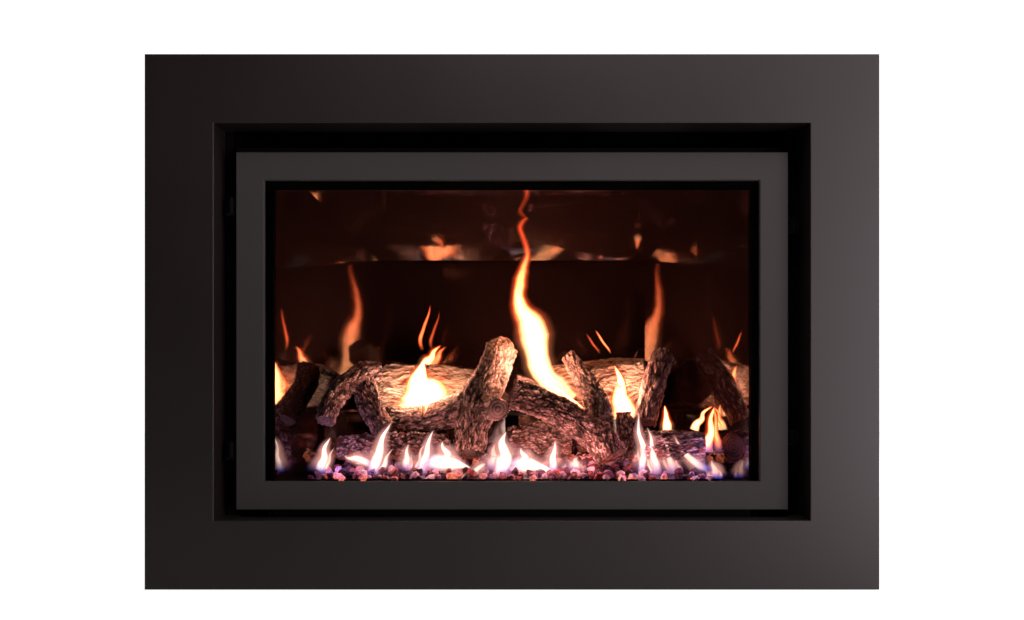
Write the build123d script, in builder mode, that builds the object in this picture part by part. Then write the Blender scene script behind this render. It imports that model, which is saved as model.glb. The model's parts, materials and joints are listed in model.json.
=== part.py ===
from build123d import *
import os
from math import atan, cos, pi, sin, tan

os.makedirs("parts", exist_ok=True)

# A direct-vent gas fireplace insert, in millimetres: +Z up, front towards -Y.
# The origin is on the hearth, under the middle of the insert's outer box.
# Depths are counted back from the front face of the surround.

# ---------------------------------------------------------------- driving dimensions
overall_depth = 450
foot_height = 20

# surround
surround_width = 1118
surround_height = 815
surround_lift = 2
opening_margin = 19
opening_under_door = 12
opening_over_door = 38
panel_sheet = 2
wall_return = 25
shadow_depth = 80
lower_return = 50
return_screw_depth = 58
return_screw_height = 198
return_screw_radius = 2.6

# casing
case_sheet = 1.5
case_front = 80
case_half_front = 435
case_taper_start = 190
case_half_rear = 300
case_top = 722

# firebox, measured at the faces of its liner
box_sheet = 1.5
cavity_front = 72
cavity_rear = 405
wall_gap_front = 60
wall_gap_rear = 57
liner_thickness = 6
liner_gap = 1
box_bottom = 100
box_top = 685
hearth_height = 158
baffle_rear_height = 531
baffle_front_height = 672
baffle_thickness = 4
flue_gap = 18

# front frame that the door closes on
face_depth = 70
face_sheet = 2
face_bottom = 116
mouth_clear = 0.5
mouth_bottom = 155
mouth_top = 618.5

# door
door_depth = 40
door_margin = 6.5
door_height = 555
door_lift = 119
door_rail = 44
door_thick = 20
door_lip = 8
glass_sheet = 5
glass_bite = 12
retainer_sheet = 2
retainer_bite = 10
gasket_width = 13
seat_gap = 0.3
door_sheet = 2.5

# hinge pins and latches
pin_offset = 9.5
pin_radius = 3
knuckle_radius = 6
knuckle_length = 26
running_gap = 0.05
tongue_thick = 4
hinge_heights = (200, 580)
latch_heights = (230, 560)
latch_width = 16
latch_pin_radius = 2.5
latch_gap = 0.5

# burner
tray_side_gap = 35
tray_front = 90
tray_rear = 340
tray_bottom = 135
tray_rim = 162
tray_sheet = 1.5
media_front_height = 166
media_height = 186
media_slope_end = 180
venturi_radius = 11
venturi_wall = 1.5
venturi_height = 118
venturi_depth = 150
shutter_length = 22
shutter_wall = 1.2

# vent collars, for 3 inch liner pipe
collar_radius = 38.1
collar_wall = 1
collar_height = 43
collar_spacing = 140
collar_depth = 330
collar_flange = 14

# controls
knob_radius = 14
knob_length = 15
stem_radius = 3
gas_bore = 10.3
knockout_radius = 11.1

# blower
wheel_radius = 28
wheel_length = 150
wheel_blades = 20
motor_radius = 27
motor_length = 84
blower_depth = 372
blower_height = 62
scroll_gap = 5

# ---------------------------------------------------------------- worked-out places
front_y = -overall_depth / 2
surround_mid = surround_lift + surround_height / 2
opening_width = 2 * (case_half_front + opening_margin)
opening_bottom = door_lift - opening_under_door
opening_top = door_lift + door_height + opening_over_door
opening_height = opening_top - opening_bottom
opening_mid = (opening_bottom + opening_top) / 2
cavity_half_front = case_half_front - wall_gap_front
cavity_half_rear = case_half_rear - wall_gap_rear
mouth_half = cavity_half_front + mouth_clear
door_width = 2 * (case_half_front - door_margin)
door_mid = door_lift + door_height / 2
door_edge = door_width / 2
pane_width = door_width - 2 * door_rail
pane_height = door_height - 2 * door_rail
hinge_x = -door_edge - pin_offset
hinge_depth = door_depth + door_thick / 2
face_half = case_half_front - case_sheet
case_rear = overall_depth
wall_angle = atan((cavity_half_front - cavity_half_rear) / (cavity_rear - cavity_front))
baffle_slope = (baffle_front_height - baffle_rear_height) / (cavity_rear - cavity_front)
box_outset = liner_thickness + liner_gap
case_floor = foot_height + case_sheet
box_floor = box_bottom + box_sheet


def y_at(depth):
    """The row's y of a depth behind the surround's face."""
    return front_y + depth


def facing(depth):
    """A plane that faces the viewer at a depth: x to the right, y up."""
    return Plane(origin=(0, y_at(depth), 0), x_dir=(1, 0, 0), z_dir=(0, -1, 0))


def slab(x_span, depth_span, z_span, mode=Mode.ADD):
    """A block between two x, two depths and two heights."""
    low = (x_span[0], y_at(depth_span[0]), z_span[0])
    high = (x_span[1], y_at(depth_span[1]), z_span[1])
    centre = tuple((a + b) / 2 for a, b in zip(low, high))
    with Locations(centre):
        Box(high[0] - low[0], high[1] - low[1], high[2] - low[2], mode=mode)


def upright_ring(width, height, wall, middle):
    """A rectangle with walls outside width and height, on the sketch plane."""
    with Locations((0, middle)):
        Rectangle(width + 2 * wall, height + 2 * wall)
        Rectangle(width, height, mode=Mode.SUBTRACT)


def cavity_half(depth, outset=0):
    """Half the firebox's width at a depth, its side walls moved square outward."""
    taper = (cavity_rear - depth) * tan(wall_angle)
    return cavity_half_rear + taper + outset / cos(wall_angle)


def cavity_plan(outset, front, rear):
    """Draw the firebox's plan between two depths, side walls moved outward."""
    with BuildLine() as outline:
        Polyline(
            (-cavity_half(front, outset), y_at(front)),
            (cavity_half(front, outset), y_at(front)),
            (cavity_half(rear, outset), y_at(rear)),
            (-cavity_half(rear, outset), y_at(rear)),
            close=True,
        )
    make_face(outline.edges())


def case_plan(inset):
    """Draw the casing's plan, drawn in by inset all round."""
    with BuildLine() as outline:
        Polyline(
            (-case_half_front, y_at(case_front)),
            (case_half_front, y_at(case_front)),
            (case_half_front, y_at(case_taper_start)),
            (case_half_rear, y_at(case_rear)),
            (-case_half_rear, y_at(case_rear)),
            (-case_half_front, y_at(case_taper_start)),
            close=True,
        )
    make_face(outline.edges())
    if inset:
        offset(amount=-inset, kind=Kind.INTERSECTION, mode=Mode.REPLACE)


def baffle_height(depth):
    """Height of the ceiling baffle's lower face at a depth."""
    return baffle_rear_height + (cavity_rear - depth) * baffle_slope


def finish(builder, name):
    """Label a finished piece and write it."""
    builder.part.label = name
    export_step(builder.part, "parts/" + name + ".step")


# ---------------------------------------------------------------- casing
foot_x = case_half_front - 130
foot_rear_x = case_half_rear - 40
foot_front_depth = case_front + 45
foot_rear_depth = case_rear - 45
foot_places = {
    "front_left": (-foot_x, foot_front_depth),
    "front_right": (foot_x, foot_front_depth),
    "rear_left": (-foot_rear_x, foot_rear_depth),
    "rear_right": (foot_rear_x, foot_rear_depth),
}
foot_stem_radius = 5
foot_nut_height = 9
foot_pad_radius = 16
foot_pad_height = 5
foot_stem_length = 26
base_lip = 12

with BuildPart() as casing_base:
    with BuildSketch(Plane.XY.offset(foot_height)):
        case_plan(case_sheet)
    extrude(amount=case_sheet)
    with BuildSketch(Plane.XY.offset(case_floor)):
        case_plan(case_sheet)
        offset(amount=-case_sheet, kind=Kind.INTERSECTION, mode=Mode.SUBTRACT)
    extrude(amount=base_lip)
    for x, depth in foot_places.values():
        with BuildSketch(Plane.XY.offset(case_floor)):
            with Locations((x, y_at(depth))):
                RegularPolygon(foot_stem_radius * 1.9, 6)
        extrude(amount=foot_nut_height)
        with Locations((x, y_at(depth), case_floor)):
            Cylinder(foot_stem_radius + running_gap, 60, mode=Mode.SUBTRACT)
finish(casing_base, "casing_base")

gas_inlet_depth = 150
gas_inlet_height = 54
gas_hole_radius = 16
knockout_depth = 150
knockout_height = 52

with BuildPart() as casing_wrapper:
    with BuildSketch(Plane.XY.offset(foot_height)):
        case_plan(0)
        offset(amount=-case_sheet, kind=Kind.INTERSECTION, mode=Mode.SUBTRACT)
        with Locations((0, y_at(case_front))):
            Rectangle(2 * face_half, 4 * case_sheet, mode=Mode.SUBTRACT)
    extrude(amount=case_top - foot_height)
    with Locations(Plane(origin=(-case_half_front, y_at(gas_inlet_depth), gas_inlet_height), z_dir=(1, 0, 0))):
        Cylinder(gas_hole_radius, 20, mode=Mode.SUBTRACT)
    with Locations(Plane(origin=(case_half_front, y_at(knockout_depth), knockout_height), z_dir=(1, 0, 0))):
        Cylinder(knockout_radius, 20, mode=Mode.SUBTRACT)
finish(casing_wrapper, "casing_wrapper")

collar_places = ((-collar_spacing / 2, y_at(collar_depth)), (collar_spacing / 2, y_at(collar_depth)))
top_hem = 8

with BuildPart() as casing_top:
    with BuildSketch(Plane.XY.offset(case_top - case_sheet)):
        case_plan(case_sheet)
        with Locations(*collar_places):
            Circle(collar_radius + seat_gap, mode=Mode.SUBTRACT)
    extrude(amount=case_sheet)
    slab(
        (-face_half, face_half),
        (case_front + case_sheet, case_front + 2 * case_sheet),
        (case_top, case_top + top_hem),
    )
finish(casing_top, "casing_top")

# levelling feet, screwed up to their stops
for name, (x, depth) in foot_places.items():
    with BuildPart() as foot:
        with BuildSketch(Plane.XY):
            with Locations((x, y_at(depth))):
                Circle(foot_pad_radius)
        extrude(amount=foot_pad_height)
        chamfer(foot.edges().group_by(Axis.Z)[-1], 1.5)
        with BuildSketch(Plane.XY.offset(foot_pad_height)):
            with Locations((x, y_at(depth))):
                RegularPolygon(foot_stem_radius * 1.7, 6)
        extrude(amount=foot_height - foot_pad_height)
        with BuildSketch(Plane.XY.offset(foot_height)):
            with Locations((x, y_at(depth))):
                Circle(foot_stem_radius)
        extrude(amount=foot_stem_length)
    finish(foot, "foot_" + name)

# ---------------------------------------------------------------- surround
return_x = opening_width / 2
lower_cut_half = face_half - 5
bracket_sheet = 2
bracket_bottom = opening_bottom - panel_sheet
bracket_top = opening_top + panel_sheet
bracket_front = 44
bracket_web = case_front + 6
bracket_rear = case_front + 36

with BuildPart() as surround_panel:
    with BuildSketch(facing(0)):
        with Locations((0, surround_mid)):
            Rectangle(surround_width, surround_height)
        with Locations((0, opening_mid)):
            Rectangle(opening_width, opening_height, mode=Mode.SUBTRACT)
    extrude(amount=-panel_sheet)
    fillet(surround_panel.edges().filter_by_position(Axis.Y, front_y, front_y), panel_sheet * 0.6)
    with BuildSketch(facing(panel_sheet)):
        upright_ring(
            surround_width - 2 * panel_sheet,
            surround_height - 2 * panel_sheet,
            panel_sheet,
            surround_mid,
        )
    extrude(amount=panel_sheet - wall_return)
    with BuildSketch(facing(panel_sheet)):
        upright_ring(opening_width, opening_height, panel_sheet, opening_mid)
    extrude(amount=panel_sheet - shadow_depth)
    slab(
        (-lower_cut_half, lower_cut_half),
        (lower_return, shadow_depth),
        (opening_bottom - panel_sheet, opening_bottom),
        mode=Mode.SUBTRACT,
    )
    for side in (-1, 1):
        middle = Plane(
            origin=(side * return_x, y_at(return_screw_depth), return_screw_height),
            z_dir=(1, 0, 0),
        )
        with Locations(middle):
            Cylinder(return_screw_radius, 8 * panel_sheet, mode=Mode.SUBTRACT)
finish(surround_panel, "surround_panel")

# Z-shaped brackets tie the surround's side returns to the casing's sides
for name, side in (("left", -1), ("right", 1)):
    outer = return_x + panel_sheet
    with BuildPart() as surround_bracket:
        for x_span, depth_span in (
            ((outer, outer + bracket_sheet), (bracket_front, bracket_web + bracket_sheet)),
            ((case_half_front, outer + bracket_sheet), (bracket_web, bracket_web + bracket_sheet)),
            ((case_half_front, case_half_front + bracket_sheet), (bracket_web, bracket_rear)),
        ):
            slab(sorted(side * x for x in x_span), depth_span, (bracket_bottom, bracket_top))
        screw_axis = Plane(
            origin=(side * outer, y_at(return_screw_depth), return_screw_height),
            z_dir=(1, 0, 0),
        )
        with Locations(screw_axis):
            Cylinder(return_screw_radius, 6 * bracket_sheet, mode=Mode.SUBTRACT)
    finish(surround_bracket, "surround_bracket_" + name)

# ---------------------------------------------------------------- firebox
floor_lip_top = mouth_bottom - 3
relief_width = 150
relief_length = 100
relief_x = 0.56 * cavity_half_front
relief_hinge_depth = 250
relief_pin_radius = 2
relief_knuckle_radius = 3.8
relief_lap = 12
relief_flap = 1.5
manifold_radius = 5
manifold_x = -30

with BuildPart() as firebox_floor:
    with BuildSketch(Plane.XY.offset(box_bottom)):
        cavity_plan(box_outset, cavity_front, cavity_rear + box_outset)
    extrude(amount=box_sheet)
    slab(
        (-mouth_half, mouth_half),
        (cavity_front, cavity_front + box_sheet),
        (box_floor, floor_lip_top),
    )
    with Locations((manifold_x, y_at(venturi_depth), box_bottom)):
        Cylinder(manifold_radius + seat_gap, 20, mode=Mode.SUBTRACT)
finish(firebox_floor, "firebox_floor")

with BuildPart() as firebox_wrapper:
    with BuildSketch(Plane.XY.offset(box_bottom)):
        cavity_plan(box_outset + box_sheet, cavity_front, cavity_rear + box_outset + box_sheet)
        with BuildSketch(mode=Mode.SUBTRACT):
            cavity_plan(box_outset, cavity_front, cavity_rear + box_outset)
    extrude(amount=box_top - box_sheet - box_bottom)
finish(firebox_wrapper, "firebox_wrapper")

relief_pin_height = box_top + relief_knuckle_radius + seat_gap

with BuildPart() as firebox_top:
    with BuildSketch(Plane.XY.offset(box_top - box_sheet)):
        cavity_plan(box_outset + box_sheet, cavity_front, cavity_rear + box_outset + box_sheet)
        with Locations(collar_places[1]):
            Circle(collar_radius - collar_wall, mode=Mode.SUBTRACT)
        with Locations(
            (-relief_x, y_at(relief_hinge_depth - relief_length / 2)),
            (relief_x, y_at(relief_hinge_depth - relief_length / 2)),
        ):
            Rectangle(relief_width - 2 * relief_lap, relief_length - 2 * relief_lap, mode=Mode.SUBTRACT)
    extrude(amount=box_sheet)
    for middle in (-relief_x, relief_x):
        for side in (-1, 1):
            lug = middle + side * (relief_width / 2 + 6)
            slab(
                (lug - 2, lug + 2),
                (relief_hinge_depth - 5, relief_hinge_depth + 5),
                (box_top, relief_pin_height + 4),
            )
        pin = Plane(origin=(middle, y_at(relief_hinge_depth), relief_pin_height), z_dir=(1, 0, 0))
        with Locations(pin):
            Cylinder(relief_pin_radius, relief_width + 12)
finish(firebox_top, "firebox_top")

for name, middle in (("left", -relief_x), ("right", relief_x)):
    with BuildPart() as relief_door:
        slab(
            (middle - relief_width / 2, middle + relief_width / 2),
            (relief_hinge_depth - relief_length, relief_hinge_depth),
            (box_top + seat_gap, box_top + seat_gap + relief_flap),
        )
        pin = Plane(origin=(middle, y_at(relief_hinge_depth), relief_pin_height), z_dir=(1, 0, 0))
        with Locations(pin):
            Cylinder(relief_knuckle_radius, relief_width)
            Cylinder(relief_pin_radius + running_gap, relief_width + 12, mode=Mode.SUBTRACT)
        slab(
            (middle - relief_width / 2, middle + relief_width / 2),
            (relief_hinge_depth - relief_length, relief_hinge_depth - relief_length + relief_flap),
            (box_top + seat_gap, box_top + seat_gap + 8),
        )
    finish(relief_door, "relief_door_" + name)

# front frame with the door's hinge pins on the left and the latch keepers on the right
face_flange = 36
tongue_front = hinge_depth - knuckle_radius
tongue_inner = -door_edge - 3
keeper_half = 12
keeper_reach = 7.5
keeper_edge = face_half + keeper_reach

with BuildPart() as firebox_front:
    with BuildSketch(facing(face_depth)):
        with Locations((0, (face_bottom + box_top) / 2)):
            Rectangle(2 * face_half, box_top - face_bottom)
        with Locations((0, (mouth_bottom + mouth_top) / 2)):
            Rectangle(2 * mouth_half, mouth_top - mouth_bottom, mode=Mode.SUBTRACT)
    extrude(amount=-face_sheet)
    for side in (-1, 1):
        slab(
            sorted((side * face_half, side * (face_half - face_sheet))),
            (face_depth + face_sheet, face_depth + face_flange),
            (face_bottom, box_top),
        )
    for height in hinge_heights:
        with BuildSketch(Plane.XY.offset(height - tongue_thick)):
            with BuildLine():
                Polyline(
                    (hinge_x - knuckle_radius, y_at(face_depth)),
                    (hinge_x - knuckle_radius, y_at(tongue_front)),
                    (tongue_inner, y_at(tongue_front)),
                    (tongue_inner, y_at(door_depth + door_thick + 3)),
                    (tongue_inner + 14, y_at(door_depth + door_thick + 3)),
                    (tongue_inner + 14, y_at(face_depth)),
                    close=True,
                )
            make_face()
        extrude(amount=tongue_thick)
        with Locations((hinge_x, y_at(hinge_depth), height + knuckle_length / 2)):
            Cylinder(pin_radius, knuckle_length)
    for height in latch_heights:
        slab(
            (face_half - 1, keeper_edge),
            (face_depth, face_depth + face_sheet),
            (height - keeper_half, height + keeper_half),
        )
finish(firebox_front, "firebox_front")

# black glass liner panels and the sloping ceiling baffle
for name, side in (("left", -1), ("right", 1)):
    with BuildPart() as liner_side:
        front = cavity_front + 2 * face_sheet
        with BuildSketch(Plane.XY.offset(hearth_height)):
            with BuildLine():
                Polyline(
                    (side * cavity_half(front), y_at(front)),
                    (side * cavity_half(cavity_rear), y_at(cavity_rear)),
                    (side * cavity_half(cavity_rear, liner_thickness), y_at(cavity_rear)),
                    (side * cavity_half(front, liner_thickness), y_at(front)),
                    close=True,
                )
            make_face()
        extrude(amount=baffle_front_height - hearth_height)
        with BuildSketch(Plane.YZ):
            with BuildLine():
                Polyline(
                    (y_at(0), baffle_height(0)),
                    (y_at(overall_depth), baffle_height(overall_depth)),
                    (y_at(overall_depth), case_top),
                    (y_at(0), case_top),
                    close=True,
                )
            make_face()
        extrude(amount=case_half_front, both=True, mode=Mode.SUBTRACT)
    finish(liner_side, "liner_" + name)

with BuildPart() as liner_back:
    liner_rear = cavity_rear + liner_thickness
    slab(
        (-cavity_half(liner_rear, liner_thickness), cavity_half(liner_rear, liner_thickness)),
        (cavity_rear, liner_rear),
        (hearth_height, baffle_height(liner_rear)),
    )
finish(liner_back, "liner_back")

with BuildPart() as ceiling_baffle:
    with BuildSketch(Plane.XY.offset(baffle_rear_height - 2 * baffle_thickness)):
        cavity_plan(liner_thickness, cavity_front + flue_gap, cavity_rear + liner_thickness)
    extrude(amount=box_top - baffle_rear_height)
    with BuildSketch(Plane.YZ):
        with BuildLine():
            Polyline(
                (y_at(0), baffle_height(0)),
                (y_at(overall_depth), baffle_height(overall_depth)),
                (y_at(overall_depth), baffle_height(overall_depth) + baffle_thickness),
                (y_at(0), baffle_height(0) + baffle_thickness),
                close=True,
            )
        make_face()
    extrude(amount=case_half_front, both=True, mode=Mode.INTERSECT)
finish(ceiling_baffle, "ceiling_baffle")

# vent collars: the exhaust stands on the firebox, the intake hangs from the casing top
for name, place, foot_z in (
    ("intake", collar_places[0], case_top - case_sheet - 4),
    ("exhaust", collar_places[1], box_top),
):
    with BuildPart() as collar:
        with BuildSketch(Plane.XY.offset(foot_z)):
            with Locations(place):
                Circle(collar_radius)
                Circle(collar_radius - collar_wall, mode=Mode.SUBTRACT)
        extrude(amount=case_top + collar_height - foot_z)
        with BuildSketch(Plane.XY.offset(case_top)):
            with Locations(place):
                Circle(collar_radius + collar_flange)
                Circle(collar_radius - collar_wall, mode=Mode.SUBTRACT)
        extrude(amount=case_sheet)
    finish(collar, name + "_collar")

# ---------------------------------------------------------------- burner
tray_leg_x = 180
media_side_gap = 2

with BuildPart() as burner_tray:
    with BuildSketch(Plane.XY.offset(tray_bottom)):
        cavity_plan(-tray_side_gap, tray_front, tray_rear)
    extrude(amount=tray_rim - tray_bottom)
    offset(
        amount=-tray_sheet,
        openings=burner_tray.faces().sort_by(Axis.Z)[-1],
        kind=Kind.INTERSECTION,
    )
    for x in (-tray_leg_x, tray_leg_x):
        for depth in (tray_front + 20, tray_rear - 20):
            slab((x - 10, x + 10), (depth - 1, depth + 1), (box_floor, tray_bottom))
finish(burner_tray, "burner_tray")

# floor plates beside the tray, each standing on a leg on the firebox floor
for name, side in (("left", -1), ("right", 1)):
    inner = -tray_side_gap + 3
    with BuildPart() as floor_plate:
        for outset, bottom in ((0, hearth_height - tray_sheet), (inner + tray_sheet, box_floor)):
            with BuildSketch(Plane.XY.offset(bottom)):
                with BuildLine():
                    Polyline(
                        (side * cavity_half(tray_front, inner), y_at(tray_front)),
                        (side * cavity_half(tray_front, outset), y_at(tray_front)),
                        (side * cavity_half(cavity_rear, outset), y_at(cavity_rear)),
                        (side * cavity_half(cavity_rear, inner), y_at(cavity_rear)),
                        close=True,
                    )
                make_face()
            extrude(amount=hearth_height - bottom)
    finish(floor_plate, "floor_plate_" + name)

pilot_x = -112
pilot_depth = 268
pilot_tab = 20
pilot_sheet = 1.5
pilot_hood_radius = 7
pilot_height = media_height + 6

with BuildPart() as pilot_burner:
    slab(
        (pilot_x - pilot_tab / 2, pilot_x + pilot_tab / 2),
        (pilot_depth, pilot_depth + pilot_sheet),
        (tray_bottom + tray_sheet, pilot_height),
    )
    slab(
        (pilot_x - pilot_tab / 2, pilot_x + pilot_tab / 2 + 6),
        (pilot_depth - 26, pilot_depth + pilot_sheet),
        (pilot_height, pilot_height + pilot_sheet),
    )
    with Locations((pilot_x, y_at(pilot_depth - 12), pilot_height + pilot_sheet)):
        Cylinder(pilot_hood_radius, 20, align=(Align.CENTER, Align.CENTER, Align.MIN))
        Cylinder(pilot_hood_radius - 1.2, 20, align=(Align.CENTER, Align.CENTER, Align.MIN), mode=Mode.SUBTRACT)
    slab(
        (pilot_x - 3, pilot_x + 3),
        (pilot_depth - 24, pilot_depth - 14),
        (pilot_height + 8, pilot_height + 16),
        mode=Mode.SUBTRACT,
    )
    with BuildSketch(Plane.XY.offset(pilot_height + pilot_sheet)):
        with Locations((pilot_x + 2 + pilot_hood_radius + 3, y_at(pilot_depth - 12))):
            Circle(2.5)
    extrude(amount=14)
    with Locations((pilot_x + 5 + pilot_hood_radius, y_at(pilot_depth - 12), pilot_height + pilot_sheet + 17)):
        Cylinder(0.9, 8)
finish(pilot_burner, "pilot_burner")

with BuildPart() as ember_media:
    inset = tray_side_gap + tray_sheet + media_side_gap
    with BuildSketch(Plane.XY.offset(tray_bottom + tray_sheet)):
        cavity_plan(-inset, tray_front + tray_sheet + 0.5, tray_rear - tray_sheet - 0.5)
    extrude(amount=media_height - tray_bottom)
    with BuildSketch(Plane.YZ):
        with BuildLine():
            Polyline(
                (y_at(tray_front), media_front_height),
                (y_at(media_slope_end), media_height),
                (y_at(overall_depth), media_height),
                (y_at(overall_depth), media_height + 50),
                (y_at(tray_front), media_height + 50),
                close=True,
            )
        make_face()
    extrude(amount=case_half_front, both=True, mode=Mode.SUBTRACT)
    slab(
        (pilot_x - pilot_tab / 2 - 0.3, pilot_x + pilot_tab / 2 + 0.3),
        (pilot_depth - 0.3, pilot_depth + pilot_sheet + 0.3),
        (tray_bottom, media_height + 1),
        mode=Mode.SUBTRACT,
    )
finish(ember_media, "ember_media")

venturi_start = manifold_x + 12
venturi_end = 110

with BuildPart() as burner_tube:
    throat = Plane(origin=(venturi_start, y_at(venturi_depth), venturi_height), z_dir=(1, 0, 0))
    with BuildSketch(throat):
        Circle(venturi_radius)
        Circle(venturi_radius - venturi_wall, mode=Mode.SUBTRACT)
    extrude(amount=venturi_end - venturi_start)
    with BuildSketch(Plane.XY.offset(venturi_height)):
        with Locations((venturi_end, y_at(venturi_depth))):
            Circle(venturi_radius)
    extrude(amount=tray_bottom - venturi_height)
    with Locations((venturi_end, y_at(venturi_depth), venturi_height)):
        Sphere(venturi_radius)
        Sphere(venturi_radius - venturi_wall, mode=Mode.SUBTRACT)
    with Locations((venturi_start + 12, y_at(venturi_depth), venturi_height)):
        Box(10, 40, 9, mode=Mode.SUBTRACT)
finish(burner_tube, "burner_tube")

with BuildPart() as air_shutter:
    sleeve = Plane(origin=(venturi_start + 1, y_at(venturi_depth), venturi_height), z_dir=(1, 0, 0))
    with BuildSketch(sleeve):
        Circle(venturi_radius + running_gap + shutter_wall)
        Circle(venturi_radius + running_gap, mode=Mode.SUBTRACT)
    extrude(amount=shutter_length)
    with Locations((venturi_start + 12, y_at(venturi_depth), venturi_height)):
        Box(10, 40, 9, mode=Mode.SUBTRACT)
    slab(
        (venturi_start + 9, venturi_start + 15),
        (venturi_depth - 1, venturi_depth + 1),
        (venturi_height - venturi_radius - 5, venturi_height - venturi_radius - running_gap - 0.2),
    )
finish(air_shutter, "air_shutter")

valve_depth = 140
valve_x = (-160, -70)
pipe_height = 50
pipe_bend = 16

with BuildPart() as manifold_pipe:
    with BuildLine() as route:
        FilletPolyline(
            (valve_x[1], y_at(venturi_depth), pipe_height),
            (manifold_x, y_at(venturi_depth), pipe_height),
            (manifold_x, y_at(venturi_depth), venturi_height + 8),
            radius=pipe_bend,
        )
    with BuildSketch(Plane(origin=route.line @ 0, z_dir=route.line % 0)):
        Circle(manifold_radius)
    sweep()
    with BuildSketch(Plane(origin=(manifold_x, y_at(venturi_depth), venturi_height), z_dir=(1, 0, 0))):
        Circle(manifold_radius)
    extrude(amount=venturi_start - manifold_x - 1)
finish(manifold_pipe, "manifold_pipe")

grate_height = 258
grate_sheet = 3
grate_front = 276
grate_back = tray_rear + 4
grate_half = cavity_half(grate_back + grate_sheet) - 8

with BuildPart() as log_grate:
    slab(
        (-grate_half, grate_half),
        (grate_front, grate_back + grate_sheet),
        (grate_height - grate_sheet, grate_height),
    )
    for x in (-210, 0, 210):
        slab((x - 12, x + 12), (grate_back, grate_back + grate_sheet), (box_floor, grate_height))
    for x in (-105, 105):
        with Locations((x, y_at((grate_front + grate_back) / 2), grate_height)):
            Box(150, 30, 20, mode=Mode.SUBTRACT)
finish(log_grate, "log_grate")


# ---------------------------------------------------------------- logs
log_sides = 9
drawn_half = 375  # the log paths are drawn for a firebox of this half width, depth and mouth height
drawn_depth = 405
drawn_top = 618.5
log_spread = cavity_half_front / drawn_half
log_reach = cavity_rear / drawn_depth
log_rise = mouth_top / drawn_top


def limb(path, radii, turn=0.0):
    """Add one limb of a log: uneven flat-sided rings along a path of (x, depth, height)."""
    spots = [Vector(x * log_spread, y_at(depth * log_reach), z * log_rise) for x, depth, z in path]
    rings = []
    for index, (spot, radius) in enumerate(zip(spots, radii)):
        along = spots[min(index + 1, len(spots) - 1)] - spots[max(index - 1, 0)]
        across = along.cross(Vector(0.31, 0.9, 0.17)).normalized()
        with BuildSketch(Plane(origin=spot, x_dir=across, z_dir=along)) as ring:
            with BuildLine():
                corners = []
                for side in range(log_sides):
                    angle = 2 * pi * side / log_sides
                    swell = radius * log_rise * (1 + 0.09 * sin(3 * angle + turn + index) + 0.05 * cos(5 * angle + turn))
                    corners.append((swell * cos(angle), swell * sin(angle)))
                Polyline(*corners, close=True)
            make_face()
        rings.append(ring.sketch)
    loft(sections=rings, ruled=True)


def seat(*pieces):
    """Cut a log where it lies on other pieces, as its moulded seats are."""
    for piece in pieces:
        add(piece.part, mode=Mode.SUBTRACT)


with BuildPart() as log_chunk_left:
    limb([(-290, 188, 203), (-230, 182, 206), (-160, 186, 206), (-104, 192, 205)], [20, 23, 24, 22], 0.4)
    seat(ember_media)
finish(log_chunk_left, "log_chunk_left")

with BuildPart() as log_chunk_centre:
    limb([(-8, 207, 210), (45, 212, 215), (100, 216, 212)], [26, 32, 28], 1.1)
    seat(ember_media)
finish(log_chunk_centre, "log_chunk_centre")

with BuildPart() as log_block:
    limb([(214, 156, 208), (266, 152, 209), (316, 150, 207)], [25, 28, 27], 2.0)
    seat(ember_media)
finish(log_block, "log_block")

with BuildPart() as log_rear_left:
    limb([(-262, 298, 296), (-215, 300, 297), (-140, 302, 299), (-56, 304, 295)], [30, 42, 45, 37], 0.9)
    seat(log_grate)
finish(log_rear_left, "log_rear_left")

with BuildPart() as log_rear_right:
    limb([(46, 304, 300), (124, 302, 303), (187, 300, 306), (238, 292, 315)], [36, 46, 52, 43], 2.3)
    seat(log_grate)
finish(log_rear_right, "log_rear_right")

with BuildPart() as log_fork:
    limb([(-221, 244, 333), (-251, 236, 330), (-284, 204, 307), (-300, 172, 278), (-306, 150, 250)], [16, 21, 20, 18, 16], 0.2)
    limb([(-254, 240, 322), (-238, 208, 270), (-214, 182, 234)], [19, 22, 19], 1.7)
    seat(log_rear_left, log_chunk_left)
finish(log_fork, "log_fork")

with BuildPart() as log_centre:
    limb(
        [(-25, 272, 382), (-20, 262, 364), (-36, 228, 325), (-54, 205, 289), (-66, 182, 243), (-68, 160, 194)],
        [20, 28, 30, 35, 30, 25],
        0.7,
    )
    limb([(-48, 212, 290), (-95, 212, 265), (-140, 222, 252), (-205, 238, 247)], [30, 28, 22, 20], 1.3)
    limb([(-40, 196, 274), (-22, 136, 271)], [23, 20], 0.5)
    seat(log_rear_left, log_rear_right, log_chunk_centre, ember_media)
finish(log_centre, "log_centre")

with BuildPart() as log_front:
    limb(
        [(2, 190, 294), (34, 186, 284), (78, 178, 267), (108, 168, 246), (142, 156, 228), (164, 140, 190)],
        [27, 27, 25, 27, 29, 28],
        1.9,
    )
    limb([(97, 264, 358), (122, 226, 318), (140, 190, 280), (148, 172, 250)], [13, 19, 22, 22], 0.3)
    seat(log_centre, log_rear_right, log_chunk_centre, ember_media)
finish(log_front, "log_front")

with BuildPart() as log_upright:
    limb([(259, 262, 362), (241, 230, 312), (222, 204, 246)], [20, 22, 20], 2.8)
    seat(log_rear_right, log_block)
finish(log_upright, "log_upright")

with BuildPart() as log_stump:
    limb([(186, 200, 266), (188, 196, 226), (186, 190, 180)], [13, 16, 17], 1.5)
    seat(log_front, log_block, log_upright, ember_media)
finish(log_stump, "log_stump")

# ---------------------------------------------------------------- gas controls
valve_height = (case_floor, 84)
knob_front = valve_depth - 34 - seat_gap - knob_length
valve_stem_x = (valve_x[0] + 24, valve_x[1] - 22)
valve_stem_z = 58
stem_sink = 12

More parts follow.
